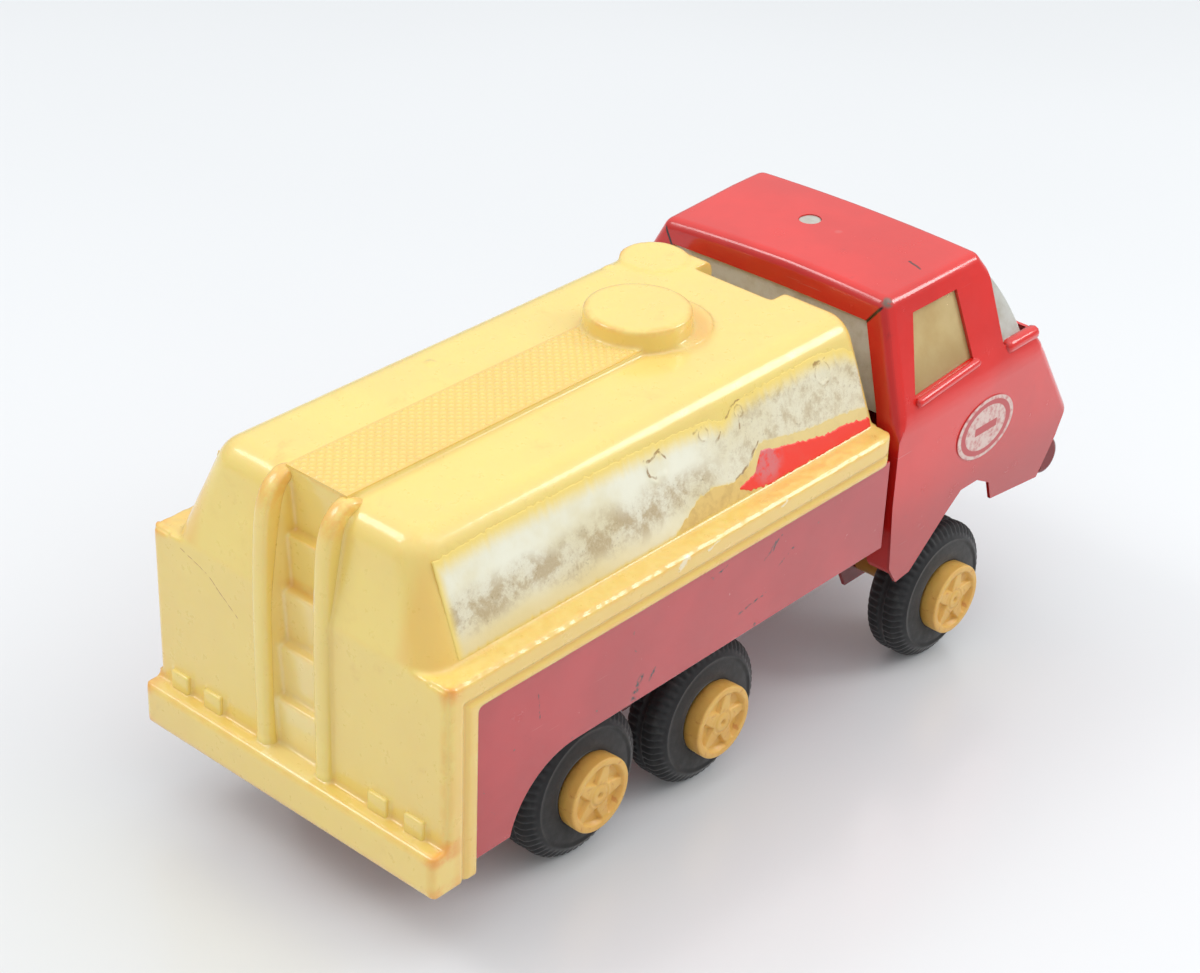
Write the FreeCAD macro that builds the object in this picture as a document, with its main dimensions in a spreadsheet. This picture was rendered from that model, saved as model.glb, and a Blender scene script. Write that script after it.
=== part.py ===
import FreeCAD, Part
import math
import os
import Sketcher
from FreeCAD import Placement, Rotation, Vector

# Toy tanker truck, pressed steel and moulded plastic, in millimetres.
# Body pieces are drawn in the truck's own level frame: x forward from the back of the rear
# bumper, y to the left, z up from the ground under the rear wheels. The finished truck stands
# nose-up by the rake angle, so every body piece gets the same placement, which turns it about
# the rear axle and moves the middle of the truck to the origin.

SIZES = {
    # stance
    "rake": 2.8,
    "row_shift": 108.825,
    # wheels
    "axle_height": 17.5,
    "rear_axle_x": 52.2,
    "middle_axle_x": 92.6,
    "middle_axle_z": 15.524,
    "front_axle_x": 175.1,
    "front_axle_z": 11.489,
    "axle_radius": 1.5,
    "axle_play": 0.05,
    "tyre_radius": 17.5,
    "tyre_width": 11.0,
    "tyre_round": 3.2,
    "hub_radius": 8.8,
    "hub_seat_radius": 8.0,
    "hub_stand": 4.2,
    "hub_pit_depth": 1.6,
    "hub_rim": 1.4,
    "hub_boss_radius": 3.2,
    "rear_hub_face": 40.5,
    "front_hub_face": 44.7,
    "spacer_radius": 3.4,
    "side_play": 0.4,
    # tank body
    "wall": 1.8,
    "ledge_half": 43.0,
    "ledge_low": 61.0,
    "ledge_top": 68.6,
    "ledge_front": 145.0,
    "ledge_round": 4.0,
    "panel_back": 4.2,
    "panel_front": 12.8,
    "panel_low": 21.0,
    "tank_foot_half": 37.5,
    "tank_top_half": 28.3,
    "tank_top": 92.8,
    "tank_back_top": 9.6,
    "tank_front_top": 144.0,
    "tank_round": 7.0,
    "tank_front_round": 3.0,
    "bumper_depth": 5.0,
    "bumper_top": 31.3,
    "bumper_round": 1.6,
    "walkway_setback": 1.4,
    "walkway_half": 8.9,
    "walkway_front": 98.0,
    "walkway_rise": 1.4,
    "hatch_x": 105.0,
    "hatch_radius": 12.0,
    "hatch_top": 98.5,
    "boss_x": 109.5,
    "boss_y": -0.5,
    "boss_radius": 13.2,
    "boss_rise": 0.9,
    "filler_x": 134.6,
    "filler_y": 20.8,
    "filler_radius": 8.0,
    "filler_rise": 0.6,
    "ladder_half": 6.9,
    "rail_width": 3.8,
    "rail_stand": 1.2,
    "step_pitch": 12.25,
    "step_first": 42.9,
    "step_edge": 5.0,
    "step_lean": 0.12,
    "step_undercut": 0.9,
    "tab_inner": 21.8,
    "tab_outer": 32.0,
    "tab_width": 5.4,
    "tab_low": 30.5,
    "tab_high": 35.6,
    "tab_stand": 0.7,
    "notch_half": 11.0,
    "notch_depth": 7.5,
    "post_radius": 4.0,
    "rear_post_x": 22.0,
    "front_post_x": 128.0,
    "paper": 0.25,
    "label_back": 14.0,
    "label_front": 139.0,
    "label_low": 69.4,
    "label_high": 84.5,
    # bed pan
    "pan_gauge": 0.8,
    "pan_half": 42.0,
    "pan_back": 11.0,
    "pan_front": 144.8,
    "pan_low": 38.4,
    "pan_drop": 23.9,
    "arch_x": 41.6,
    "arch_radius": 19.2,
    # chassis
    "chassis_gauge": 1.0,
    "chassis_half": 18.0,
    "chassis_back": 26.0,
    "chassis_front": 205.0,
    "chassis_depth": 9.0,
    "bracket_half": 16.5,
    "bracket_reach": 8.6,
    "bracket_neck": 6.0,
    "rear_bracket_low": 25.0,
    "front_bracket_low": 28.0,
    # cab
    "cab_gauge": 0.8,
    "cab_half": 42.5,
    "cab_belt": 68.0,
    "cab_roof": 95.0,
    "cab_roof_half": 32.4,
    "cab_back": 147.0,
    "cab_roof_back": 151.4,
    "cab_round": 3.0,
    "flange": 6.5,
    "pillar_x": 189.2,
    "cowl_z": 73.2,
    "roof_hole_x": 172.0,
    "roof_hole_y": 5.2,
    "roof_hole_radius": 2.7,
    "glass": 1.0,
    "glass_gap": 0.15,
    "floor_high": 43.0,
    "floor_half": 41.5,
    "floor_well_half": 13.5,
    "floor_back": 154.0,
    "floor_front": 205.0,
    "nose_bar_half": 42.0,
    "nose_bar_x": 213.6,
    "nose_bar_z": 34.4,
    "nose_bar_radius": 5.0,
    "nose_bar_gauge": 1.0,
    "badge_x": 182.0,
    "badge_z": 55.4,
    "badge_long": 11.3,
    "badge_high": 7.7,
    # fasteners
    "rivet_radius": 1.6,
    "rivet_head": 2.8,
    "rivet_head_rise": 0.9,
    "screw_radius": 1.3,
}

# Side outline of the cab (x, z), clockwise from the foot of the rear pillar.
CAB_OUTLINE = [
    (151.4, 26.3), (148.3, 31.0), (147.0, 48.0), ("cab_back", "cab_belt"),
    ("cab_roof_back", "cab_roof"), (187.2, "cab_roof"), (202.6, 72.8), (218.9, 48.3),
    (215.0, 40.1), (208.5, 30.9), (188.5, 33.2), (186.8, 38.4), (181.5, 41.2), (175.0, 41.2),
    (168.6, 36.6), (156.6, 26.9),
]
SIDE_WINDOW = [(154.2, 72.9), (159.4, 90.2), (176.2, 90.2), (177.2, 74.2)]
CHASSIS_RIVETS = [(60.0, 10.0), (60.0, -10.0), (84.0, 10.0), (84.0, -10.0)]
FRONT_RIVETS = [(165.0, 9.0), (165.0, -9.0), (185.0, 9.0), (185.0, -9.0)]

doc = FreeCAD.newDocument("TankerTruck")
sheet = doc.addObject("Spreadsheet::Sheet", "Sizes")
for row, (alias, number) in enumerate(SIZES.items(), start=1):
    sheet.set("A%d" % row, alias)
    sheet.set("B%d" % row, "%g" % number)
    sheet.setAlias("B%d" % row, alias)
doc.recompute()

nodes = []


def read(text):
    """A number from the sheet, by alias; plain numbers pass through."""
    if isinstance(text, str):
        return float(sheet.get(text))
    return float(text)


def evaluated(text):
    """Value of a small sum of aliases such as 'wall - pan_low'."""
    total = 0.0
    sign = 1.0
    for word in text.split():
        if word in "+-":
            sign = 1.0 if word == "+" else -1.0
            continue
        factor = 1.0
        for part in word.split("*"):
            factor *= read(part) if part in SIZES else float(part)
        total += sign * factor
        sign = 1.0
    return total


def bound(text):
    """The same sum written as a FreeCAD expression on the sheet."""
    words = []
    for word in text.split():
        parts = ["Sizes." + part if part in SIZES else part for part in word.split("*")]
        words.append(" * ".join(parts))
    return " ".join(words)


def bind(item, **sizes):
    """Bind properties of a document object to sums of sheet cells."""
    for name, text in sizes.items():
        item.setExpression(name, bound(text))


def raked():
    """Placement of every piece that is fixed to the body."""
    pivot = Vector(read("rear_axle_x"), 0, read("axle_height"))
    turn = Rotation(Vector(0, 1, 0), -read("rake"))
    return Placement(pivot - turn.multVec(pivot) - Vector(read("row_shift"), 0, 0), turn)


def on_body(x, y, z):
    """Point of the level frame, in the finished truck's frame."""
    return raked().multVec(Vector(x, y, z))


def keep(item, label, placement=None):
    """Name a finished sub-part and put it in its place."""
    item.Label = label
    item.Placement = placement or raked()
    nodes.append(item)
    return item


# ---------------------------------------------------------------- PartDesign helpers

def new_body(label):
    return doc.addObject("PartDesign::Body", label.title().replace("_", ""))


def new_sketch(body, role, lift=None):
    """Sketch on one of the body's own origin planes, lifted along its normal."""
    sketch = body.newObject("Sketcher::SketchObject", body.Name + "Sketch")
    plane = [item for item in body.Origin.OriginFeatures if item.Role == role][0]
    sketch.AttachmentSupport = [(plane, "")]
    sketch.MapMode = "FlatFace"
    if lift:
        sketch.AttachmentOffset = Placement(Vector(0, 0, evaluated(lift)), Rotation())
        sketch.setExpression("AttachmentOffset.Base.z", bound(lift))
    return sketch


def hold_point(sketch, line, end, across, up):
    """Hold one sketch point by its distances from the sketch's origin."""
    for kind, axis, text in (("DistanceX", -2, across), ("DistanceY", -1, up)):
        number = evaluated(text)
        if abs(number) < 1e-9:
            sketch.addConstraint(Sketcher.Constraint("PointOnObject", line, end, axis))
            continue
        place = sketch.addConstraint(Sketcher.Constraint(kind, -1, 1, line, end, number))
        sketch.setExpression("Constraints[%d]" % place, bound(text))


def draw_outline(sketch, points):
    """Closed polygon whose corners are bound to the sheet."""
    corners = [Vector(evaluated(across), evaluated(up), 0) for across, up in points]
    count = len(corners)
    for i in range(count):
        sketch.addGeometry(Part.LineSegment(corners[i], corners[(i + 1) % count]), False)
    for i in range(count):
        sketch.addConstraint(Sketcher.Constraint("Coincident", i, 2, (i + 1) % count, 1))
    for i, (across, up) in enumerate(points):
        hold_point(sketch, i, 1, across, up)
    return sketch


def draw_circle(sketch, across, up, radius):
    centre = Vector(evaluated(across), evaluated(up), 0)
    number = sketch.addGeometry(Part.Circle(centre, Vector(0, 0, 1), evaluated(radius)), False)
    place = sketch.addConstraint(Sketcher.Constraint("Radius", number, evaluated(radius)))
    sketch.setExpression("Constraints[%d]" % place, bound(radius))
    hold_point(sketch, number, 3, across, up)
    return sketch


def box_corners(left, right, low, high):
    return [(left, low), (right, low), (right, high), (left, high)]


def pad_through(body, sketch, width):
    """Pad a sketch symmetrically about its plane."""
    pad = body.newObject("PartDesign::Pad", body.Name + "Pad")
    pad.Profile = sketch
    pad.Midplane = True
    pad.Length = evaluated(width)
    bind(pad, Length=width)
    doc.recompute()
    return pad


def pocket_through(body, sketch):
    """Cut a sketch right through the body, both ways."""
    before = body.Shape.Volume
    pocket = body.newObject("PartDesign::Pocket", body.Name + "Pocket")
    pocket.Profile = sketch
    pocket.Type = "ThroughAll"
    pocket.Midplane = True
    doc.recompute()
    if body.Shape.Volume > before - 1e-6:
        raise RuntimeError("a pocket in %s cuts nothing" % body.Name)
    return pocket


def revolve_outline(body, points):
    """Solid of revolution about the Y axis; points are (radius, y)."""
    sketch = draw_outline(new_sketch(body, "XY_Plane"), points)
    turned = body.newObject("PartDesign::Revolution", body.Name + "Revolution")
    turned.Profile = sketch
    turned.ReferenceAxis = (sketch, ["V_Axis"])
    turned.Angle = 360
    doc.recompute()
    return turned


# ---------------------------------------------------------------- plain shape helpers

def prism_y(points, half):
    """Solid from an (x, z) outline, from -half to +half in y."""
    corners = [Vector(read(x), -half, read(z)) for x, z in points]
    return Part.Face(Part.makePolygon(corners + corners[:1])).extrude(Vector(0, 2 * half, 0))


def prism_x(points, back, front):
    """Solid from a (y, z) outline, from back to front in x."""
    corners = [Vector(back, read(y), read(z)) for y, z in points]
    return Part.Face(Part.makePolygon(corners + corners[:1])).extrude(Vector(front - back, 0, 0))


def block(x, y, z):
    """Box from (low, high) ranges."""
    return Part.makeBox(x[1] - x[0], y[1] - y[0], z[1] - z[0], Vector(x[0], y[0], z[0]))


def post(x, y, low, high, radius):
    return Part.makeCylinder(radius, high - low, Vector(x, y, low))


def rounded(solid, radius, wanted):
    """Fillet the edges that the test picks."""
    edges = [edge for edge in solid.Edges if wanted(edge)]
    return solid.makeFillet(radius, edges)


def feature(label, shape, placement=None):
    """A sub-part whose shape was made directly."""
    item = doc.addObject("Part::Feature", label.title().replace("_", ""))
    item.Shape = shape
    return keep(item, label, placement)


def direction(edge):
    return (edge.Vertexes[-1].Point - edge.Vertexes[0].Point).normalize()


# ---------------------------------------------------------------- wheels and axles

WHEELSETS = {
    "front": ("front_axle_x", "front_axle_z", "front_hub_face"),
    "middle": ("middle_axle_x", "middle_axle_z", "rear_hub_face"),
    "rear": ("rear_axle_x", "axle_height", "rear_hub_face"),
}
SIDES = {"right": 0.0, "left": 180.0}


def wheel_place(axle_x, axle_z, turn):
    return Placement(on_body(read(axle_x), 0, read(axle_z)), Rotation(Vector(0, 0, 1), turn))


def make_tyre(label, hub_face, place):
    """Rubber ring; the outer side faces -y before it is placed."""
    body = new_body(label)
    outer = "0 - %s + hub_stand" % hub_face
    inner = outer + " + tyre_width"
    revolve_outline(body, [
        ("hub_seat_radius", outer), ("tyre_radius - tyre_round", outer),
        ("tyre_radius", outer + " + tyre_round"), ("tyre_radius", inner + " - tyre_round"),
        ("tyre_radius - tyre_round", inner), ("hub_seat_radius", inner)])
    keep(body, label, place)


def make_hub(label, hub_face, place):
    """Plastic hub: drum and rim outside, seat for the tyre, spacer towards the bracket."""
    body = new_body(label)
    face = "0 - " + hub_face
    seat = face + " + hub_stand"
    back = seat + " + tyre_width"
    pit = face + " + hub_pit_depth"
    bore = face + " + hub_stand"
    spacer = "0 - bracket_half - side_play"
    revolve_outline(body, [
        ("0", pit + " - hub_rim"), ("hub_boss_radius", pit + " - hub_rim"),
        ("hub_boss_radius", pit), ("hub_radius - hub_rim", pit), ("hub_radius - hub_rim", face),
        ("hub_radius", face),
        ("hub_radius", seat), ("hub_seat_radius", seat), ("hub_seat_radius", back),
        ("spacer_radius", back), ("spacer_radius", spacer), ("axle_radius", spacer),
        ("axle_radius", bore), ("0", bore)])
    keep(body, label, place)


def make_axle(label, hub_face, place):
    rod = doc.addObject("Part::Cylinder", label.title().replace("_", ""))
    bind(rod, Radius="axle_radius", Height="2*%s - 2*hub_stand" % hub_face)
    half = evaluated(hub_face + " - hub_stand")
    lying = Placement(Vector(0, half, 0), Rotation(Vector(1, 0, 0), 90))
    keep(rod, label, place.multiply(lying))


for end, (axle_x, axle_z, hub_face) in WHEELSETS.items():
    make_axle(end + "_axle", hub_face, wheel_place(axle_x, axle_z, 0.0))
    for side, turn in SIDES.items():
        place = wheel_place(axle_x, axle_z, turn)
        make_tyre("%s_%s_tyre" % (end, side), hub_face, place)
        make_hub("%s_%s_hub" % (end, side), hub_face, place)


# ---------------------------------------------------------------- bed pan

def make_bed_pan():
    """Pressed tray: floor, two side skirts and the flaps ahead of the rear bumper."""
    body = new_body("bed_pan")
    pad_through(body, draw_outline(new_sketch(body, "XZ_Plane"), [
        ("pan_back", "pan_drop"), ("arch_x", "pan_drop"), ("arch_x", "pan_low"),
        ("pan_front", "pan_low"), ("pan_front", "ledge_low"), ("pan_back", "ledge_low")]),
        "2*pan_half")
    inside = box_corners("0 - pan_half + pan_gauge", "pan_half - pan_gauge",
                         "pan_low + pan_gauge", "ledge_low + pan_gauge")
    below = box_corners("0 - pan_half + pan_gauge", "pan_half - pan_gauge",
                        "pan_drop - pan_gauge", "pan_low")
    for outline in (inside, below):
        pocket_through(body, draw_outline(new_sketch(body, "YZ_Plane"), outline))
    arch = new_sketch(body, "XZ_Plane")
    pocket_through(body, draw_circle(arch, "arch_x", "pan_low - arch_radius", "arch_radius"))
    floor_holes = new_sketch(body, "XY_Plane")
    for x in ("rear_post_x", "front_post_x"):
        draw_circle(floor_holes, x, "0", "screw_radius")
    for x, y in CHASSIS_RIVETS:
        draw_circle(floor_holes, "%g" % x, "%g" % y, "rivet_radius")
    pocket_through(body, floor_holes)
    keep(body, "bed_pan")


# ---------------------------------------------------------------- chassis

def make_channel(label, half, gauge, side, top, holes=(), axles=()):
    """Upside-down channel: a side outline as wide as 2*half, hollowed from below."""
    body = new_body(label)
    pad_through(body, draw_outline(new_sketch(body, "XZ_Plane"), side), "2*" + half)
    hollow = box_corners("0 - %s + %s" % (half, gauge), "%s - %s" % (half, gauge),
                         "0", "%s - %s" % (top, gauge))
    pocket_through(body, draw_outline(new_sketch(body, "YZ_Plane"), hollow))
    if holes:
        sketch = new_sketch(body, "XY_Plane")
        for x, y, radius in holes:
            draw_circle(sketch, x, y, radius)
        pocket_through(body, sketch)
    if axles:
        sketch = new_sketch(body, "XZ_Plane")
        for x, z in axles:
            draw_circle(sketch, x, z, "axle_radius + axle_play")
        pocket_through(body, sketch)
    return keep(body, label)


def rivet_holes(places):
    return [("%g" % x, "%g" % y, "rivet_radius") for x, y in places]


def make_chassis():
    """Long channel under the pan and the cab, with its deck against the pan's floor."""
    low = "pan_low - chassis_depth"
    side = [("chassis_back", low), ("chassis_front", low), ("chassis_front", "pan_low"),
            ("chassis_back", "pan_low")]
    holes = rivet_holes(CHASSIS_RIVETS + FRONT_RIVETS)
    holes.append(("front_post_x", "0", "screw_radius"))
    make_channel("chassis_frame", "chassis_half", "chassis_gauge", side, "pan_low", holes)


def make_brackets():
    """Pressed axle brackets under the chassis deck, inside its flanges."""
    top = "pan_low - chassis_gauge"
    rear_low = "axle_height - bracket_neck"
    middle_low = "middle_axle_z - bracket_neck"
    rear = [("rear_axle_x - bracket_reach", top), ("rear_axle_x - bracket_reach", rear_low),
            ("rear_axle_x + bracket_neck", rear_low),
            ("rear_axle_x + 2*bracket_reach", "rear_bracket_low"),
            ("middle_axle_x - 2*bracket_reach", "rear_bracket_low"),
            ("middle_axle_x - bracket_neck", middle_low),
            ("middle_axle_x + bracket_reach", middle_low), ("middle_axle_x + bracket_reach", top)]
    make_channel("rear_axle_bracket", "bracket_half", "chassis_gauge", rear, top,
                 rivet_holes(CHASSIS_RIVETS),
                 [("rear_axle_x", "axle_height"), ("middle_axle_x", "middle_axle_z")])
    front_low = "front_axle_z - bracket_neck"
    front = [("front_axle_x - 2*bracket_reach", top),
             ("front_axle_x - 2*bracket_reach", "front_bracket_low"),
             ("front_axle_x - bracket_neck", front_low), ("front_axle_x + bracket_neck", front_low),
             ("front_axle_x + 2*bracket_reach", "front_bracket_low"),
             ("front_axle_x + 2*bracket_reach", top)]
    make_channel("front_axle_bracket", "bracket_half", "chassis_gauge", front, top,
                 rivet_holes(FRONT_RIVETS), [("front_axle_x", "front_axle_z")])


def make_nose_bar():
    """Front bumper: a hollow round-fronted bar seated against the front of the cab."""
    half = read("nose_bar_half")
    radius = read("nose_bar_radius")
    gauge = read("nose_bar_gauge")
    start = Vector(read("nose_bar_x"), -half, read("nose_bar_z"))
    bar = rounded(Part.makeCylinder(radius, 2 * half, start, Vector(0, 1, 0)), 2 * gauge,
                  lambda edge: abs(edge.CenterOfMass.y) > half - 0.01)
    inside = Part.makeCylinder(radius - gauge, 2 * (half - 2 * gauge),
                               start + Vector(0, 2 * gauge, 0), Vector(0, 1, 0))
    cab = cab_block(0.0)
    behind = block((start.x - 2 * radius, start.x - 0.5 * radius), (-60, 60), (20, 50))
    feature("front_bumper", largest(bar.cut(cab).cut(behind).cut(inside.cut(behind))))


# ---------------------------------------------------------------- tank body

def tank_form(inset):
    """The drafted tank with round shoulders, drawn in from the outside by inset."""
    foot = read("ledge_top") - (2.0 if inset else 0.0)
    top = read("tank_top") - inset
    rise = read("tank_top") - read("ledge_top")
    lean = (read("tank_foot_half") - read("tank_top_half")) / rise
    back_lean = (read("tank_back_top") - read("panel_back")) / rise
    front_lean = (read("ledge_front") - read("tank_front_top")) / rise

    def ring(z):
        up = z - read("ledge_top")
        half = read("tank_foot_half") - inset - lean * up
        back = read("panel_back") + inset + back_lean * up
        front = read("ledge_front") - inset - front_lean * up
        corners = [Vector(back, -half, z), Vector(front, -half, z), Vector(front, half, z),
                   Vector(back, half, z)]
        return Part.makePolygon(corners + corners[:1])

    solid = Part.makeLoft([ring(foot), ring(top)], True, True)
    front = read("tank_front_top") - inset - 0.1

    def on_front(edge):
        return all(vertex.Point.x > front for vertex in edge.Vertexes)

    solid = rounded(solid, read("tank_round") - inset,
                    lambda edge: edge.CenterOfMass.z > foot + 0.1 and not on_front(edge))
    return rounded(solid, read("tank_front_round") - inset,
                   lambda edge: edge.CenterOfMass.z > foot + 0.1 and on_front(edge))


def lean_back(z):
    """x of the rear face of the tank at height z."""
    up = max(0.0, z - read("ledge_top"))
    rise = read("tank_top") - read("ledge_top")
    return read("panel_back") + up * (read("tank_back_top") - read("panel_back")) / rise


def ladder_rails():
    """Two ribs that follow the rear face from the bumper to the top."""
    low = read("bumper_top") - 1.0
    high = read("tank_top") - 1.5
    stand = read("rail_stand")
    knee = read("ledge_top")
    side = [(lean_back(low) - stand, low), (lean_back(knee) - stand, knee),
            (lean_back(high) - stand, high), (lean_back(high) + 3, high),
            (lean_back(knee) + 1, knee), (lean_back(low) + 1, low)]
    inner = read("ladder_half")
    width = read("rail_width")
    rails = []
    for start in (inner, -inner - width):
        rail = prism_y(side, width / 2)
        rail.translate(Vector(0, start + width / 2, 0))
        rails.append(rail)
    return rails


def ladder_recess(behind=0.0):
    """Leaning flight of steps cut into the rear face; behind moves it inward for the wall."""
    low = read("bumper_top") - behind
    side = [(-4.0, low)]
    tread = low
    for number in range(5):
        top = read("step_first") + number * read("step_pitch") - behind
        x = read("step_edge") + number * read("step_pitch") * read("step_lean") + behind
        side += [(x + read("step_undercut"), tread), (x, top)]
        tread = top
    high = read("hatch_top")
    side += [(x, high), (-4.0, high)]
    return prism_y(side, read("ladder_half") + behind)


def light_tabs():
    """Two pairs of low square tabs above the bumper."""
    back = read("panel_back") - read("tab_stand")
    tabs = []
    for side in (1, -1):
        for start in (read("tab_inner"), read("tab_outer")):
            low_y, high_y = sorted((side * start, side * (start + read("tab_width"))))
            tabs.append(block((back, back + 1.2), (low_y, high_y),
                              (read("tab_low"), read("tab_high"))))
    return tabs


def make_tank_body():
    """One hollow moulding, open below, with ledges, rear panel, bumper and top details."""
    wall = read("wall")
    half = read("ledge_half")
    back = read("panel_back")
    top = read("tank_top")
    ledge = block((back, read("ledge_front")), (-half, half),
                  (read("ledge_low"), read("ledge_top")))
    ledge = rounded(ledge, read("ledge_round"), lambda edge: abs(direction(edge).z) > 0.99
                    and edge.CenterOfMass.x > back + 1)
    panel = block((back, read("panel_front")), (-half, half),
                  (read("panel_low"), read("ledge_low") + 0.5))
    bumper = block((0.0, read("bumper_depth")), (-half, half),
                   (read("panel_low"), read("bumper_top")))
    bumper = rounded(bumper, read("bumper_round"), lambda edge: edge.CenterOfMass.x < 0.1)
    walkway = block((read("tank_back_top") + read("walkway_setback"), read("walkway_front")),
                    (-read("walkway_half"), read("walkway_half")),
                    (top - 1.0, top + read("walkway_rise")))
    hatch = rounded(post(read("hatch_x"), 0, top - 1, read("hatch_top"), read("hatch_radius")),
                    1.0, lambda edge: edge.CenterOfMass.z > read("hatch_top") - 0.1)
    boss = post(read("boss_x"), read("boss_y"), top - 1, top + read("boss_rise"),
                read("boss_radius"))
    filler = post(read("filler_x"), read("filler_y"), top - 5, top + read("filler_rise"),
                  read("filler_radius"))
    outer = ledge.multiFuse([tank_form(0.0), panel, bumper, walkway, boss, hatch, filler]
                            + ladder_rails() + light_tabs())
    outer = outer.cut(ladder_recess())
    notch = block((read("ledge_front") - read("notch_depth"), read("ledge_front") + 3),
                  (-read("notch_half"), read("notch_half")), (read("ledge_top"), top + 3))
    outer = outer.cut(notch)

    hollow = tank_form(wall)
    hollow = hollow.fuse(block((back + wall, read("ledge_front") - wall),
                               (-half + wall, half - wall),
                               (read("ledge_low") - 5, read("ledge_top") - wall)))
    hollow = hollow.fuse(block((back + wall, read("panel_front") + 1),
                               (-half + wall, half - wall), (0, read("ledge_low") + 1)))
    behind_notch = block((read("ledge_front") - read("notch_depth") - wall,
                          read("ledge_front")), (-read("notch_half") - wall,
                         read("notch_half") + wall), (read("ledge_top") - wall, top))
    hollow = hollow.cut(ladder_recess(wall)).cut(behind_notch)
    skirts = block((read("pan_back") - 0.05, read("panel_front") + 1),
                   (-read("pan_half") - 0.05, read("pan_half") + 0.05),
                   (0, read("ledge_low")))
    shell = outer.cut(hollow).cut(skirts)
    floor = read("pan_low") + read("pan_gauge")
    for x in (read("rear_post_x"), read("front_post_x")):
        column = post(x, 0, floor, top - 0.5, read("post_radius"))
        shell = shell.fuse(column).cut(post(x, 0, floor, floor + 14, read("screw_radius")))
    shell = shell.removeSplitter()
    feature("tank_body", shell)


def make_side_labels():
    """Paper labels glued to the sloping sides of the tank."""
    rise = read("tank_top") - read("ledge_top")
    lean = (read("tank_foot_half") - read("tank_top_half")) / rise
    flat = math.hypot(1.0, lean)
    low, high = read("label_low"), read("label_high")
    inner_low = read("tank_foot_half") - lean * (low - read("ledge_top"))
    inner_high = read("tank_foot_half") - lean * (high - read("ledge_top"))
    out_y = read("paper") / flat
    out_z = read("paper") * lean / flat
    for label, side in (("right_side_label", -1), ("left_side_label", 1)):
        section = [(side * inner_low, low), (side * inner_high, high),
                   (side * (inner_high + out_y), high + out_z),
                   (side * (inner_low + out_y), low + out_z)]
        feature(label, prism_x(section, read("label_back"), read("label_front")))


# ---------------------------------------------------------------- cab

def cab_block(inset, extra=0.0):
    """Cab envelope drawn in by inset: side outline crossed with front outline."""
    points = [Vector(read(x), 0, read(z)) for x, z in CAB_OUTLINE]
    outline = Part.makePolygon(points + points[:1])
    if inset:
        outline = Part.Wire(outline.makeOffset2D(-inset, 2).Edges)
    half = read("cab_half") - inset
    side = Part.Face(outline).extrude(Vector(0, 2 * half, 0))
    side.translate(Vector(0, -half, 0))
    lean = (read("cab_half") - read("cab_roof_half")) / (read("cab_roof") - read("cab_belt"))
    roof_half = half - lean * (read("cab_roof") - inset - read("cab_belt"))
    high = read("cab_roof") - inset
    front = prism_x([(-half, 0), (half, 0), (half, "cab_belt"), (roof_half, high),
                     (-roof_half, high), (-half, "cab_belt")], 100, 260)
    return side.common(front)


def bent_edge(edge):
    """Edges of the roof, the upper pillars and the nose, which are bent round."""
    point = edge.CenterOfMass
    above_belt = point.z > read("cab_belt") + 1
    wide = abs(point.y) > 30
    roof = point.z > read("cab_roof") - 2.1
    nose = point.x > 200 and point.z > 45 and not (wide and above_belt)
    return roof or (wide and above_belt) or nose


def make_cab_shell():
    """Pressed-steel cab: open below, and at the back inside its turned-in flanges."""
    gauge = read("cab_gauge")
    radius = read("cab_round")
    outer = rounded(cab_block(0.0), radius, bent_edge)
    inner = rounded(cab_block(gauge), radius - gauge, bent_edge)
    side = read("cab_half") - gauge
    below = block((149.5, 207.0), (-side, side), (0, 47.0))
    flange = read("flange")
    lean = (read("cab_half") - read("cab_roof_half")) / (read("cab_roof") - read("cab_belt"))
    lip = read("cab_roof") - 6.0
    lip_half = read("cab_roof_half") - flange + lean * 6.0
    belt_half = read("cab_half") - flange
    doorway = prism_x([(-belt_half, 0), (belt_half, 0), (belt_half, "cab_belt"),
                       (lip_half, lip), (-lip_half, lip), (-belt_half, "cab_belt")], 140, 156)
    screen = prism_y([("pillar_x", "cowl_z"), ("pillar_x", 91.4), (215.0, 91.4),
                      (215.0, "cowl_z")], 60)
    hole = post(read("roof_hole_x"), read("roof_hole_y"), 90, 100, read("roof_hole_radius"))
    shell = outer
    for cutter in (inner, below, doorway, prism_y(SIDE_WINDOW, 60), screen, hole):
        shell = shell.cut(cutter)
    feature("cab_shell", largest(shell))


def largest(shape):
    """The main solid, without loose slivers."""
    return max(shape.Solids, key=lambda solid: solid.Volume)


def make_cab_glazing():
    """Clear moulding inside the cab's upper half, with the peg in the roof hole."""
    start = read("cab_gauge") + read("glass_gap")
    outer = rounded(cab_block(start), read("cab_round") - start, bent_edge)
    inner = rounded(cab_block(start + read("glass")), read("cab_round") - start - read("glass"),
                    bent_edge)
    zone = block((100, 260), (-60, 60), (read("cowl_z") - 4.0, 100))
    shell = outer.cut(inner).common(zone)
    hole = read("roof_hole_radius") - 0.1
    peg = post(read("roof_hole_x"), read("roof_hole_y"), read("cab_roof") - start - 0.5,
               read("cab_roof") - 0.25, hole)
    feature("cab_glazing", largest(shell.fuse(peg).removeSplitter()))


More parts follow.
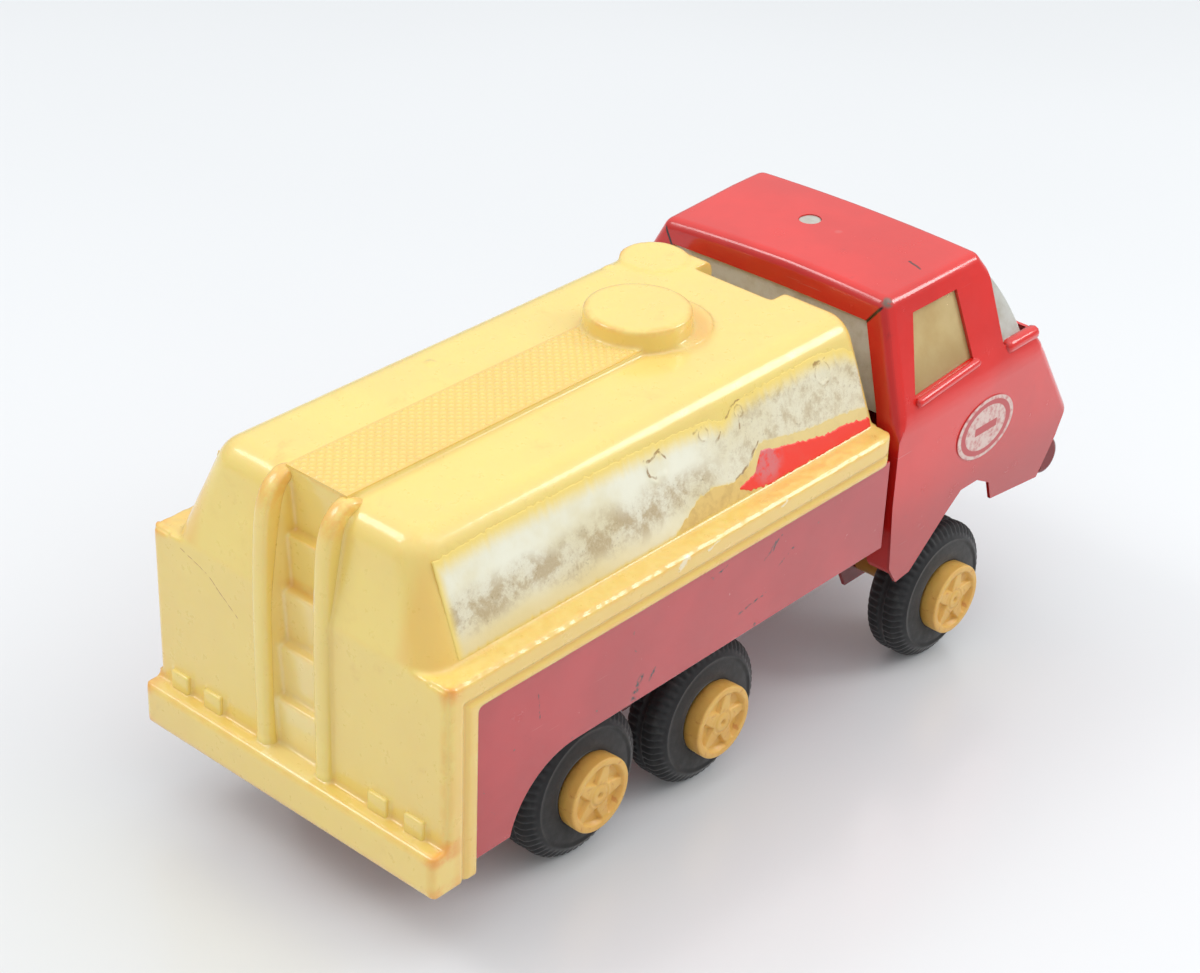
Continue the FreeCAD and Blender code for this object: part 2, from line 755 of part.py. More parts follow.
def make_cab_floor():
    """Pressed floor: wings inside the cab, a well riveted to the chassis deck."""
    body = new_body("cab_floor")
    sketch = new_sketch(body, "YZ_Plane", "floor_back")
    well = "floor_well_half"
    draw_outline(sketch, [
        ("0 - floor_half", "floor_high"), ("0 - floor_half", "floor_high - cab_gauge"),
        ("0 - %s - cab_gauge" % well, "floor_high - cab_gauge"),
        ("0 - %s - cab_gauge" % well, "pan_low"),
        (well + " + cab_gauge", "pan_low"), (well + " + cab_gauge", "floor_high - cab_gauge"),
        ("floor_half", "floor_high - cab_gauge"), ("floor_half", "floor_high"),
        (well, "floor_high"), (well, "pan_low + cab_gauge"),
        ("0 - " + well, "pan_low + cab_gauge"), ("0 - " + well, "floor_high")])
    pad = body.newObject("PartDesign::Pad", "CabFloorPad")
    pad.Profile = sketch
    pad.Length = evaluated("floor_front - floor_back")
    bind(pad, Length="floor_front - floor_back")
    doc.recompute()
    holes = new_sketch(body, "XY_Plane")
    for x, y in FRONT_RIVETS:
        draw_circle(holes, "%g" % x, "%g" % y, "rivet_radius")
    pocket_through(body, holes)
    keep(body, "cab_floor")


def make_badges():
    """Plain oval badges on the doors."""
    half = read("cab_half")
    for label, side in (("right_door_badge", -1), ("left_door_badge", 1)):
        centre = Vector(read("badge_x"), side * half, read("badge_z"))
        oval = Part.Ellipse(centre + Vector(read("badge_long"), 0, 0),
                            centre + Vector(0, 0, read("badge_high")), centre)
        face = Part.Face(Part.Wire(oval.toShape()))
        feature(label, face.extrude(Vector(0, side * read("paper"), 0)))


def make_nose_label():
    """Foil label with a plain grille pattern on the sloping nose."""
    top = Vector(CAB_OUTLINE[6][0], 0, CAB_OUTLINE[6][1])
    bottom = Vector(CAB_OUTLINE[7][0], 0, CAB_OUTLINE[7][1])
    slope = bottom - top
    out = Vector(-slope.z, 0, slope.x).normalize() * read("paper")
    high = top + slope * 0.15
    low = top + slope * 0.85
    feature("nose_label", prism_y([(c.x, c.z) for c in (high, low, low + out, high + out)], 30.0))


# ---------------------------------------------------------------- fasteners

def rivet(x, y, low, high):
    """Solid rivet from low to high with a round head at each end."""
    rise = read("rivet_head_rise")
    shank = post(x, y, low - 0.1, high + 0.1, read("rivet_radius"))
    under = post(x, y, low - rise, low, read("rivet_head"))
    over = post(x, y, high, high + rise, read("rivet_head"))
    under = rounded(under, 0.5, lambda edge: edge.CenterOfMass.z < low - rise + 0.01)
    over = rounded(over, 0.5, lambda edge: edge.CenterOfMass.z > high + rise - 0.01)
    return shank.multiFuse([under, over]).removeSplitter()


def make_fasteners():
    """Rivets through pan, chassis and brackets, and screws up into the tank's posts."""
    gauge = read("chassis_gauge")
    low = read("pan_low") - 2 * gauge
    bed = [rivet(x, y, low, read("pan_low") + read("pan_gauge")) for x, y in CHASSIS_RIVETS]
    feature("bed_rivets", Part.makeCompound(bed))
    front = [rivet(x, y, low, read("pan_low") + read("cab_gauge")) for x, y in FRONT_RIVETS]
    feature("cab_rivets", Part.makeCompound(front))
    floor = read("pan_low") + read("pan_gauge")
    screws = []
    for x, seat in ((read("rear_post_x"), read("pan_low")),
                    (read("front_post_x"), read("pan_low") - gauge)):
        head = rounded(post(x, 0, seat - 1.6, seat, 2.9), 0.8,
                       lambda edge, z=seat: edge.CenterOfMass.z < z - 1.5)
        slot = block((x - 4, x + 4), (-0.4, 0.4), (seat - 3, seat - 0.9))
        screws.append(head.cut(slot).fuse(post(x, 0, seat, floor + 11, read("screw_radius")))
                      .removeSplitter())
    feature("tank_screws", Part.makeCompound(screws))


# ---------------------------------------------------------------- build, check, write

make_bed_pan()
make_chassis()
make_brackets()
make_nose_bar()
make_tank_body()
make_side_labels()
make_cab_shell()
make_cab_glazing()
make_cab_floor()
make_badges()
make_nose_label()
make_fasteners()
doc.recompute()

for item in doc.Objects:
    if "Invalid" in item.State or "Error" in item.State:
        raise RuntimeError("%s failed: %s" % (item.Name, item.State))
os.makedirs("parts", exist_ok=True)
for item in nodes:
    if item.Shape.isNull() or not item.Shape.isValid():
        raise RuntimeError("%s has no valid shape" % item.Label)
    item.Shape.exportStep("parts/%s.step" % item.Label)
whole = Part.makeCompound([item.Shape for item in nodes]).BoundBox
print("nodes", len(nodes), "box", [round(v, 2) for v in (
    whole.XMin, whole.XMax, whole.YMin, whole.YMax, whole.ZMin, whole.ZMax)])
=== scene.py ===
import bpy
import bmesh
import math
import numpy as np
from mathutils import Matrix, Vector, noise


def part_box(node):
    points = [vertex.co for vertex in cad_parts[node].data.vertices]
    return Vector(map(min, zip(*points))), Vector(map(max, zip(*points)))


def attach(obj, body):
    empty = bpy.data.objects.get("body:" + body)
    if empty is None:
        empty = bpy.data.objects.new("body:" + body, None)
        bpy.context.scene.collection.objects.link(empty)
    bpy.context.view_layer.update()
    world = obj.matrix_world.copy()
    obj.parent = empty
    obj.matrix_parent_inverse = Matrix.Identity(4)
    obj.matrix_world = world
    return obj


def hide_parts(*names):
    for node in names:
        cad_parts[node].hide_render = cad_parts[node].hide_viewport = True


# Toy tanker truck: looks built around the fixed CAD frame.
# Body pieces are drawn in millimetres in the truck's own level frame (x forward from the back of
# the rear bumper, y left, z up) and LEVEL turns them nose-up about the rear axle, as the CAD does.
# Wheel pieces are drawn about their own axle, with y outward.

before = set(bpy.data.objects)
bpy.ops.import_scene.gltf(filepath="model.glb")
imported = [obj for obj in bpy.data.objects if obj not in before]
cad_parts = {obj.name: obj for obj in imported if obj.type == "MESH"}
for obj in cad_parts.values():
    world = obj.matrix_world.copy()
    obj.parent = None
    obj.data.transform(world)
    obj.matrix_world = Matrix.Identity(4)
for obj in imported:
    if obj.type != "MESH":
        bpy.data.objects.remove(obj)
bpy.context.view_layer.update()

MM = 0.001
RAKE = math.radians(2.8)
REAR_AXLE = Vector((52.2, 0.0, 17.5))


def middle(node):
    """Centre of a CAD node's box, in metres."""
    low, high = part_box(node)
    return (Vector(low) + Vector(high)) / 2


LEVEL = (Matrix.Translation(middle("rear_axle")) @ Matrix.Rotation(-RAKE, 4, "Y")
         @ Matrix.Translation(-REAR_AXLE * MM))


# ---------------- materials

def linear(red, green, blue):
    """Linear colour from display values 0-255."""
    return tuple(((c / 255 + 0.055) / 1.055) ** 2.4 if c > 10 else c / 3295 for c in
                 (red, green, blue)) + (1.0,)


class Finish:
    """A procedural material whose lengths are millimetres of the truck's level frame.

    With own=True they are millimetres of the object's own coordinates, as on the wheels.
    """

    def __init__(self, name, own=False, **sockets):
        self.material = bpy.data.materials.new(name)
        self.material.use_nodes = True
        self.tree = self.material.node_tree
        self.shader = self.tree.nodes["Principled BSDF"]
        point = self.node("ShaderNodeTexCoord").outputs["Object"]
        pivot = Vector()
        if not own:
            pivot = REAR_AXLE
            point = self.node("ShaderNodeMapping", {
                "Vector": point, "Location": middle("rear_axle"),
                "Rotation": (0.0, -RAKE, 0.0)}, vector_type="TEXTURE").outputs[0]
        self.mm = self.vector("MULTIPLY_ADD", point, (1 / MM,) * 3, pivot)[0]
        for socket, value in sockets.items():
            self.shader.inputs[socket.replace("_", " ")].default_value = value

    def node(self, kind, values=(), **settings):
        """Node with its settings; values gives its sockets an output or a constant."""
        made = self.tree.nodes.new(kind)
        for name, value in settings.items():
            setattr(made, name, value)
        for socket, value in dict(values).items():
            self.put(value, made.inputs[socket])
        return made

    def put(self, value, target):
        """Link an output or set a constant."""
        if isinstance(value, bpy.types.NodeSocket):
            self.tree.links.new(value, target)
        else:
            target.default_value = value

    def vector(self, operation, *values):
        """Outputs of a vector maths node."""
        return self.node("ShaderNodeVectorMath", enumerate(values), operation=operation).outputs

    def math(self, operation, *values, clamp=False):
        return self.node("ShaderNodeMath", enumerate(values), operation=operation,
                         use_clamp=clamp).outputs[0]

    def times(self, first, second):
        return self.math("MULTIPLY", first, second)

    def size(self, value):
        """Value without its sign."""
        return self.math("ABSOLUTE", value)

    def total(self, masks):
        """Largest of several masks."""
        result = masks[0]
        for mask in masks[1:]:
            result = self.math("MAXIMUM", result, mask)
        return result

    def step(self, value, low, high, top=1.0):
        """Smooth 0 to top as value goes from low to high."""
        return self.node("ShaderNodeMapRange", {
            "Value": value, "From Min": low, "From Max": high, "To Min": 0.0, "To Max": top},
            interpolation_type="SMOOTHSTEP").outputs["Result"]

    def mix(self, factor, first, second):
        """Colour mix."""
        return self.node("ShaderNodeMix", {0: factor, 6: first, 7: second},
                         data_type="RGBA").outputs[2]

    def attribute(self, name):
        return self.node("ShaderNodeAttribute", attribute_name=name).outputs["Fac"]

    def axis(self, letter, of=None):
        """One component of a vector, which is the place in millimetres unless given."""
        return self.node("ShaderNodeSeparateXYZ", {0: of or self.mm}).outputs[letter.upper()]

    def stretched(self, x, y, z):
        """Coordinates scaled per axis, for streaks."""
        return self.vector("MULTIPLY", self.mm, (x, y, z))[0]

    def noise(self, size, detail=4.0, roughness=0.55, distortion=0.0, at=None):
        """Noise factor with features of about this size."""
        return self.node("ShaderNodeTexNoise", {
            "Vector": at or self.mm, "Scale": 1 / size, "Detail": detail,
            "Roughness": roughness, "Distortion": distortion}).outputs[0]

    def distance(self, centre):
        """Distance from a point given in millimetres."""
        return self.vector("DISTANCE", self.mm, centre)["Value"]

    def ring(self, centre, radius, width, uneven):
        """Mask of a thin uneven ring about a point."""
        wander = self.times(self.noise(radius * 0.7, 3), uneven * radius)
        away = self.math("SUBTRACT", self.math("ADD", self.distance(centre), wander),
                         radius + 0.5 * uneven * radius)
        return self.step(self.size(away), width, width * 0.3)

    def stroke(self, start, end, width, wobble):
        """Mask of a thin wandering line between two points given in millimetres."""
        start, along = Vector(start), Vector(end) - Vector(start)
        wander = self.node("ShaderNodeTexNoise", {"Vector": self.mm, "Scale": 0.35})
        moved = self.vector("MULTIPLY_ADD", wander.outputs["Color"], (2 * wobble,) * 3, self.mm)[0]
        place = self.vector("SUBTRACT", moved, start + Vector((wobble,) * 3))[0]
        share = self.vector("DOT_PRODUCT", place, along / along.length_squared)["Value"]
        held = self.math("ADD", share, 0.0, clamp=True)
        foot = self.vector("MULTIPLY", along, held)[0]
        gap = self.vector("DISTANCE", place, foot)["Value"]
        return self.step(gap, width, width * 0.35)

    def strokes(self, lines, wobble, place):
        """Mask of lines given as (a, b, a, b, width), where place puts (a, b) in space."""
        return self.total([self.stroke(place(*line[:2]), place(*line[2:4]), line[4], wobble)
                           for line in lines])

    def bump(self, height, depth, strength):
        """Bump whose full height is depth millimetres, on top of any bump so far."""
        normal = self.shader.inputs["Normal"]
        node = self.node("ShaderNodeBump", {"Strength": strength, "Distance": depth * MM,
                                            "Height": height})
        if normal.is_linked:
            self.put(normal.links[0].from_socket, node.inputs["Normal"])
        self.put(node.outputs[0], normal)

    def colour(self, value):
        self.put(value, self.shader.inputs["Base Color"])

    def clouds(self, noise, span, first, second):
        """Base colour that drifts between two colours."""
        self.colour(self.mix(self.step(self.noise(*noise), *span), first, second))

    def over(self, mask, colour):
        """Lay a colour over the base colour where the mask is."""
        base = self.shader.inputs["Base Color"].links[0].from_socket
        self.colour(self.mix(mask, base, colour))

    def roughness(self, noise, span):
        """Roughness that follows noise over a span."""
        self.put(self.step(self.noise(*noise), *span), self.shader.inputs["Roughness"])


YELLOW = linear(250, 222, 124)
YELLOW_DEEP = linear(244, 182, 84)
YELLOW_BROWN = linear(190, 134, 58)
RED_DARK = linear(140, 18, 24)


def moulded_yellow(name, attributes=False):
    """Aged yellow moulding, with grime; painted shade makes it more orange in hollow corners, and
    it is more orange on edges marked as such.
    """
    finish = Finish(name, Subsurface_Weight=0.12, Subsurface_Scale=0.003, Coat_Weight=0.8,
                    Coat_Roughness=0.13)
    finish.shader.inputs["Subsurface Radius"].default_value = (1.0, 0.45, 0.12)
    finish.clouds((26, 3), (0.3, 0.7), YELLOW, linear(246, 216, 124))
    if attributes:
        patchy = finish.step(finish.noise(5, 5, 0.65), 0.35, 0.62)
        finish.over(finish.times(finish.attribute("ridge"), patchy), YELLOW_DEEP)
        # Painted shade: the valley mark deepens the colour in hollows, where shade falls.
        finish.over(finish.times(finish.attribute("valley"), 0.4), YELLOW_DEEP)
    finish.over(finish.step(finish.noise(9, 8, 0.7, 0.4), 0.56, 0.78, 0.22), YELLOW_BROWN)
    finish.roughness((3, 6, 0.7), (-0.3, 1.3, 0.7))
    finish.bump(finish.noise(2.2, 3), 0.05, 0.35)
    finish.bump(finish.noise(0.35, 3, 0.7), 0.012, 0.4)
    return finish


def red_paint(name, tone, chips, coat, specular=0.5):
    """Gloss enamel on steel with fine dirt, hairline scratches and a few chips."""
    paint = Finish(name, Coat_Weight=coat, Coat_Roughness=0.14, Specular_IOR_Level=specular)
    deep = tuple(c * 0.86 for c in tone[:3]) + (1.0,)
    paint.clouds((30, 4), (0.35, 0.65), tone, deep)
    scratch = paint.noise(1.0, 2, 0.5, at=paint.stretched(0.05, 0.05, 1.9))
    paint.over(paint.step(scratch, 0.735, 0.76, 0.4), linear(215, 120, 115))
    paint.over(paint.step(paint.noise(6, 8, 0.72), 0.6, 0.8, 0.35), RED_DARK)
    chip = paint.step(paint.noise(2.4, 7, 0.62, 0.5), chips, chips + 0.015)
    paint.over(chip, linear(96, 74, 66))
    paint.roughness((7, 6, 0.7), (-0.2, 1.4, 0.5))
    paint.bump(paint.noise(2.5, 2), 0.02, 0.25)
    paint.bump(paint.times(chip, -1.0), 0.03, 0.6)
    return paint


def paint_nodes(finish, *nodes):
    """Give CAD nodes this material."""
    for node in nodes:
        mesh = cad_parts[node].data
        mesh.materials.clear()
        mesh.materials.append(finish.material)


# ---------------- mesh helpers

def added(name, data):
    """New object in the scene."""
    made = bpy.data.objects.new(name, data)
    bpy.context.collection.objects.link(made)
    return made


def mark(mesh, name, values):
    """Store one number for each vertex."""
    mesh.attributes.new(name, "FLOAT", "POINT").data.foreach_set("value", values)


def piece(name, points, faces, finish, body="truck", matrix=None, smooth=True):
    """Mesh object from points in millimetres: level coordinates, or about a given matrix."""
    mesh = bpy.data.meshes.new(name)
    mesh.from_pydata([Vector(p) * MM for p in points], [], faces)
    mesh.validate()
    mesh.materials.append(finish.material)
    mesh.polygons.foreach_set("use_smooth", [smooth] * len(mesh.polygons))
    made = added(name, mesh)
    if matrix is None:
        mesh.transform(LEVEL)
    else:
        made.matrix_world = matrix
    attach(made, body)
    return made


def grid_faces(rows, columns, wrap_rows=False, wrap_columns=False):
    """Quads of a rows x columns grid of points."""
    faces = []
    for i in range(rows if wrap_rows else rows - 1):
        for j in range(columns if wrap_columns else columns - 1):
            a, b = i * columns + j, i * columns + (j + 1) % columns
            c, d = ((i + 1) % rows) * columns + (j + 1) % columns, ((i + 1) % rows) * columns + j
            faces.append((a, b, c, d))
    return faces


def tube_faces(count, sides):
    """Faces of a tube with closed ends, whose count points lie in loops of so many sides."""
    faces = grid_faces(count // sides, sides, wrap_columns=True)
    return faces + [tuple(range(sides)), tuple(reversed(range(count - sides, count)))]


def turns(steps, phase=0.0):
    """Angles of steps points round a circle."""
    return [phase + 2 * math.pi * k / steps for k in range(steps)]


def level_copy(node):
    """Mesh of a CAD node in level coordinates."""
    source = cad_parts[node]
    mesh = source.data.copy()
    mesh.transform(LEVEL.inverted() @ source.matrix_world)
    return mesh


def coordinates(mesh, name="co"):
    """Vertex positions or normals as rows of three."""
    values = np.empty(len(mesh.vertices) * 3)
    mesh.vertices.foreach_get(name, values)
    return values.reshape(-1, 3)


def reshape(mesh, points):
    """Move the vertices to points in millimetres."""
    mesh.vertices.foreach_set("co", (points * MM).ravel())


def finished_mesh(mesh, finish):
    """Give a mesh its material and smooth shading."""
    mesh.materials.clear()
    mesh.materials.append(finish.material)
    mesh.polygons.foreach_set("use_smooth", [True] * len(mesh.polygons))
    mesh.update()


# ---------------- wheels

WHEELS = [(row, side) for row in ("front", "middle", "rear") for side in ("right", "left")]
TREAD_RIBS = 56
TREAD_DEPTH = 0.55
HUB_SEAT = 8.05
HUB_SPACER = 3.4
HUB_STEPS = 150
HUB_RING = 0.29
HUB_LIP = 0.45
TYRE_SECTION = [
    # radius, share of half width (outer side is positive), rib depth share
    (8.1, 0.90, 0), (9.2, 0.985, 0), (11.0, 1.0, 0), (12.9, 0.975, 0), (13.6, 0.955, 0),
    (13.85, 1.0, 0), (14.3, 1.0, 0), (14.6, 0.93, 0), (15.3, 0.885, 0.1), (16.1, 0.81, 1),
    (16.8, 0.71, 1), (17.3, 0.58, 1), (17.5, 0.45, 1), (17.5, 0.2, 1), (17.35, 0.15, 0),
    (16.95, 0.12, 0),
]


def wheel_matrix(row, side):
    """Frame at the wheel's node centre with y pointing outward."""
    place = Matrix.Translation(middle("%s_%s_tyre" % (row, side)))
    turn = 0.0 if side == "left" else math.pi
    return place @ Matrix.Rotation(turn, 4, "Z")


def ring(radius, y, angles):
    """Points about the axle."""
    return [(radius * math.cos(angle), y, radius * math.sin(angle)) for angle in angles]


def tyre_mesh(half):
    """Revolved tyre section with transverse ribs on both tread shoulders."""
    section = TYRE_SECTION + [(r, -share, rib) for r, share, rib in reversed(TYRE_SECTION)]
    columns = TREAD_RIBS * 4
    points = []
    for radius, share, rib in section:
        for k, angle in enumerate(turns(columns)):
            sunk = rib if k % 4 > 1 else 0.0
            reach = radius - TREAD_DEPTH * sunk
            y = half * share * (1 - 0.035 * sunk)
            points.append((reach * math.cos(angle), y, reach * math.sin(angle)))
    return points, grid_faces(len(section), columns, wrap_rows=True, wrap_columns=True)


def star(radius, angle):
    """Height of the hub's face: rim, five-armed star, pits between the arms and a boss."""
    def ease(value, low, high):
        share = min(1.0, max(0.0, (value - low) / (high - low)))
        return share * share * (3 - 2 * share)

    arm = math.radians(72)
    across = (angle + arm / 2) % arm - arm / 2
    side = abs(radius * math.sin(across))
    width = 2.45 - 0.2 * radius
    raised = 1 - ease(side, width - 0.2, width + 0.35)
    floor = -1.35 + 0.95 * raised
    if radius < 3.1:
        floor = max(floor, -0.3 - 1.1 * ease(radius, 2.3, 3.1) * (1 - raised))
    height = floor * (1 - ease(radius, 6.75, 7.25))
    if radius < 2.5:
        height = -0.12 - 0.35 * ease(radius, 2.0, 2.5)
    dimple = 1 - ease(radius, 0.45, 0.8)
    return height - 0.7 * dimple


def hub_mesh(drum, face, back, half, phase):
    """Hub of a tyre of this half width, from its starred face to the back of its spacer."""
    points = []
    angles = turns(HUB_STEPS, phase)
    for k in range(int((drum - 0.5) / HUB_RING)):
        radius = 0.15 + HUB_RING * k
        points += [(x, y + star(radius, angle), z) for angle, (x, y, z)
                   in zip(turns(HUB_STEPS), ring(radius, face, angles))]
    outline = []
    for k in range(5):
        turn = math.pi / 2 * k / 4
        outline.append((drum - HUB_LIP + HUB_LIP * math.sin(turn),
                        face - HUB_LIP + HUB_LIP * math.cos(turn)))
    outline += [(drum, face - 2.0), (drum - 0.1, half + 0.25), (drum - 0.5, half - 0.1),
                (HUB_SEAT, half - 0.2), (HUB_SEAT, 0.1 - half), (HUB_SEAT - 0.4, -half - 0.2),
                (HUB_SPACER + 0.3, -half - 0.2), (HUB_SPACER, -half - 0.5),
                (HUB_SPACER, back + 0.2), (HUB_SPACER - 0.2, back)]
    for radius, y in outline:
        points += ring(radius, y, angles)
    return points, tube_faces(len(points), HUB_STEPS)


def tyre_rubber():
    rubber = Finish("tyre_rubber", own=True, Specular_IOR_Level=0.45, Sheen_Weight=0.25,
                    Sheen_Roughness=0.5)
    rubber.clouds((5, 6, 0.7), (0.5, 0.8, 0.5), linear(27, 28, 30), linear(74, 74, 72))
    rubber.roughness((2, 5, 0.7), (-0.8, 1.3))
    rubber.bump(rubber.noise(0.5, 4, 0.7), 0.05, 0.5)
    return rubber


def hub_plastic():
    """Deeper, drier yellow than the tank's, stained brown."""
    yellow = Finish("hub_plastic", own=True, Subsurface_Weight=0.1, Subsurface_Scale=0.002,
                    Coat_Weight=0.15, Coat_Roughness=0.2)
    yellow.clouds((7, 4), (0.3, 0.7), linear(226, 174, 82), linear(234, 188, 98))
    stain = yellow.step(yellow.noise(2.4, 7, 0.7, 0.5), 0.55, 0.72, 0.7)
    yellow.over(stain, linear(196, 118, 44))
    yellow.roughness((2, 6, 0.7), (-0.5, 1.4, 0.8))
    yellow.bump(yellow.noise(0.9, 5, 0.65), 0.09, 0.5)
    return yellow


def make_wheels():
    """Ribbed tyre and starred hub of each wheel, each hub turned differently."""
    rubber, yellow = tyre_rubber(), hub_plastic()
    for count, (row, side) in enumerate(WHEELS):
        stem = "%s_%s_" % (row, side)
        matrix = wheel_matrix(row, side)
        low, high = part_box(stem + "tyre")
        half = (high[1] - low[1]) / 2 / MM
        tyre = piece(stem + "tyre_ribbed", *tyre_mesh(half), rubber, row + "_wheelset", matrix)
        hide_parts(stem + "tyre")
        low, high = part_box(stem + "hub")
        outward = 1 if side == "left" else -1
        centre = middle(stem + "tyre").y
        back, face = sorted((y - centre) / MM * outward for y in (low[1], high[1]))
        drum = (high[2] - low[2]) / 2 / MM
        shape = hub_mesh(drum, face, back, half, 0.4 + 1.3 * count)
        hub = piece(stem + "hub_star", *shape, yellow, row + "_wheelset", matrix)
        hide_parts(stem + "hub")


# ---------------- tank

TANK_VOXEL = 0.45
TANK_LOW_TOP = 68.6
TANK_HIGH_TOP = 92.8
TANK_FOOT_HALF = 37.5
TANK_TOP_HALF = 28.3
SHOULDER = 7.0
TANK_REAR = 4.2
TANK_FRONT = 145.0
LEDGE_SIDE = 43.0
BUMPER_TOP = 30.6
HATCH = (106.5, 0.0, 93.4)
WALKWAY_HALF = 8.8
WALKWAY_TOP = 94.2


def curvature_marks(mesh):
    """Store how much each vertex stands out of or sinks below its smoothed surroundings."""
    rounds = 9
    count = len(mesh.vertices)
    points, normals = coordinates(mesh), coordinates(mesh, "normal")
    edges = np.empty(len(mesh.edges) * 2, dtype=np.int32)
    mesh.edges.foreach_get("vertices", edges)
    edges = edges.reshape(-1, 2)
    degree = np.bincount(edges.ravel(), minlength=count).astype(float)
    smooth = points.copy()
    for _ in range(rounds):
        total = [sum(np.bincount(edges[:, a], weights=smooth[edges[:, b], k], minlength=count)
                     for a, b in ((0, 1), (1, 0))) for k in range(3)]
        smooth = np.stack(total, axis=1) / degree[:, None]
    out = ((points - smooth) * normals).sum(axis=1) / MM
    for name, values in (("ridge", out), ("valley", -out)):
        mark(mesh, name, np.clip((values - 0.05) / 0.32, 0.0, 1.0))


def tank_finish():
    """Tank plastic: deeper low down, painted shade at its upper rear corners and round the hatch,
    painted light paling the ladder well, cracked behind, scuffed on the ledge.
    """
    finish = moulded_yellow("tank_plastic", attributes=True)
    over, step, times = finish.over, finish.step, finish.times
    x, z = finish.axis("x"), finish.axis("z")
    wide = finish.size(finish.axis("y"))
    low = step(z, 70.0, 68.9)
    over(finish.total([times(low, step(x, 5.0, 7.0, 0.3)), times(low, 0.08)]), YELLOW_DEEP)
    crumbs = times(step(finish.noise(3.5, 7, 0.7), 0.42, 0.62, 0.4),
                   times(low, step(z, 67.4, 68.2)))
    over(times(crumbs, step(x, 6, 9)), linear(250, 224, 134))
    # Painted shade down the rounded upper rear corners of the tank.
    corner = times(step(x, 15.0, 10.0), step(wide, 27.0, 31.0))
    over(times(corner, step(z, 68.5, 70.0, 0.42)), YELLOW_DEEP)
    bumper_edge = step(finish.size(finish.math("SUBTRACT", z, 31.0)), 3.0, 1.0)
    levels = finish.total([step(z, 64.5, 68.0), step(z, 25.0, 21.5), bumper_edge])
    ends = times(step(x, 10.0, 5.0), step(wide, 39.0, 43.5))
    rubbed = times(times(levels, ends), step(z, 71.0, 69.5))
    lower_edge = times(step(z, 23.5, 21.0), step(x, 6.0, 3.0, 0.5))
    patchy = step(finish.noise(4, 5, 0.65), 0.3, 0.58, 0.85)
    over(times(finish.total([rubbed, lower_edge]), patchy), linear(240, 160, 62))
    from_hatch = finish.distance(HATCH)
    shade = times(step(from_hatch, 11.0, 12.5), step(from_hatch, 17.0, 13.5))
    over(times(shade, step(x, 104.0, 112.0, 0.6)), YELLOW_DEEP)
    # Painted light: the ladder well is made paler to lift the shade in its recess.
    ladder = times(step(wide, 7.4, 6.8), step(x, 10.0, 8.0, 0.75))
    over(times(ladder, step(z, 30.4, 31.2)), linear(253, 231, 158))
    crack = finish.strokes([(33.6, 66.8, 26.0, 64.4, 0.17), (26.0, 64.4, 20.2, 60.4, 0.2),
                            (20.2, 60.4, 15.8, 57.1, 0.16)], 0.4, lambda y, z: (TANK_REAR, y, z))
    over(crack, linear(190, 142, 78))
    scuff = finish.strokes([(71.0, 66.6, 73.6, 67.4, 1.2), (80.0, 66.8, 84.0, 67.6, 0.4),
                            (104.0, 67.0, 106.0, 67.8, 0.35)], 0.8,
                           lambda x, z: (x, -LEDGE_SIDE, z))
    over(times(scuff, step(finish.noise(1.4, 4), 0.36, 0.5, 0.8)), linear(248, 236, 206))
    return finish


def make_tank():
    """Moulded tank with soft edges: the CAD form remeshed, relaxed and given its fine grooves."""
    finish = tank_finish()
    made = added("tank_moulding", level_copy("tank_body"))
    remesh = made.modifiers.new("Voxels", "REMESH")
    remesh.mode = "VOXEL"
    remesh.voxel_size = TANK_VOXEL * MM
    relax = made.modifiers.new("Relax", "SMOOTH")
    relax.factor = 0.5
    relax.iterations = 8
    shown = made.evaluated_get(bpy.context.evaluated_depsgraph_get())
    mesh = bpy.data.meshes.new_from_object(shown)
    made.modifiers.clear()
    made.data = mesh
    sculpt_tank(mesh)
    finished_mesh(mesh, finish)
    curvature_marks(mesh)
    mesh.transform(LEVEL)
    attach(made, "truck")
    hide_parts("tank_body")


def round_off(points, first, second, radius, where):
    """Round the square edge between two faces.

    Each face is given as (coordinate, axis, level of the face, direction into the body).
    """
    depths = [(values - level) * inward for values, axis, level, inward in (first, second)]
    near = where & (depths[0] < radius) & (depths[1] < radius)
    square = np.stack([radius - depth[near] for depth in depths])
    scale = square.max(axis=0) / np.maximum(np.hypot(*square), 1e-9)
    for (values, axis, level, inward), distance in zip((first, second), square):
        moved = level + inward * (radius - distance * scale)
        points[near, axis] = np.copysign(moved, points[near, axis])


def sculpt_tank(mesh):
    """Press the rim groove round the skirt opening and raise the small marks on top."""
    points = coordinates(mesh) / MM
    x, y, z = points[:, 0], points[:, 1], points[:, 2]
    side = np.abs(y) > 42.3
    rim = side & (x > 8.5) & (z < 66)
    sunk = np.exp(-((z - 63.4) / 0.55) ** 2) * rim
    upright = side & (x < 12) & (z < 64)
    sunk = np.maximum(sunk, np.exp(-((x - 9.2) / 0.6) ** 2) * upright)
    points[:, 1] -= np.sign(y) * 0.7 * sunk
    rear, front = (x, 0, TANK_REAR, 1), (x, 0, TANK_FRONT, -1)
    flank, ledge_top = (np.abs(y), 1, LEDGE_SIDE, -1), (z, 2, TANK_LOW_TOP, -1)
    round_off(points, rear, flank, 2.2, (z > 33) & (z < 69))
    round_off(points, rear, ledge_top, 1.6, np.abs(y) > TANK_FOOT_HALF)
    round_off(points, flank, ledge_top, 1.2, (x > 6.4) & (x < 141))
    round_off(points, front, ledge_top, 1.2, np.abs(y) > TANK_FOOT_HALF)
    top = (z > 92) & (z < 95)
    for centre_x, centre_y in ((62.3, 20.2), (124.3, 25.6)):
        away = np.hypot(x - centre_x, y - centre_y)
        points[:, 2] += 0.35 * np.exp(-(away / 1.2) ** 4) * top
    ledge = (z > 66) & (z < 70) & (np.abs(y) > 38.5)
    rough = np.array([noise.noise(Vector(p) * 0.55) for p in points[ledge]])
    points[ledge, 2] += 0.2 * rough
    reshape(mesh, points)


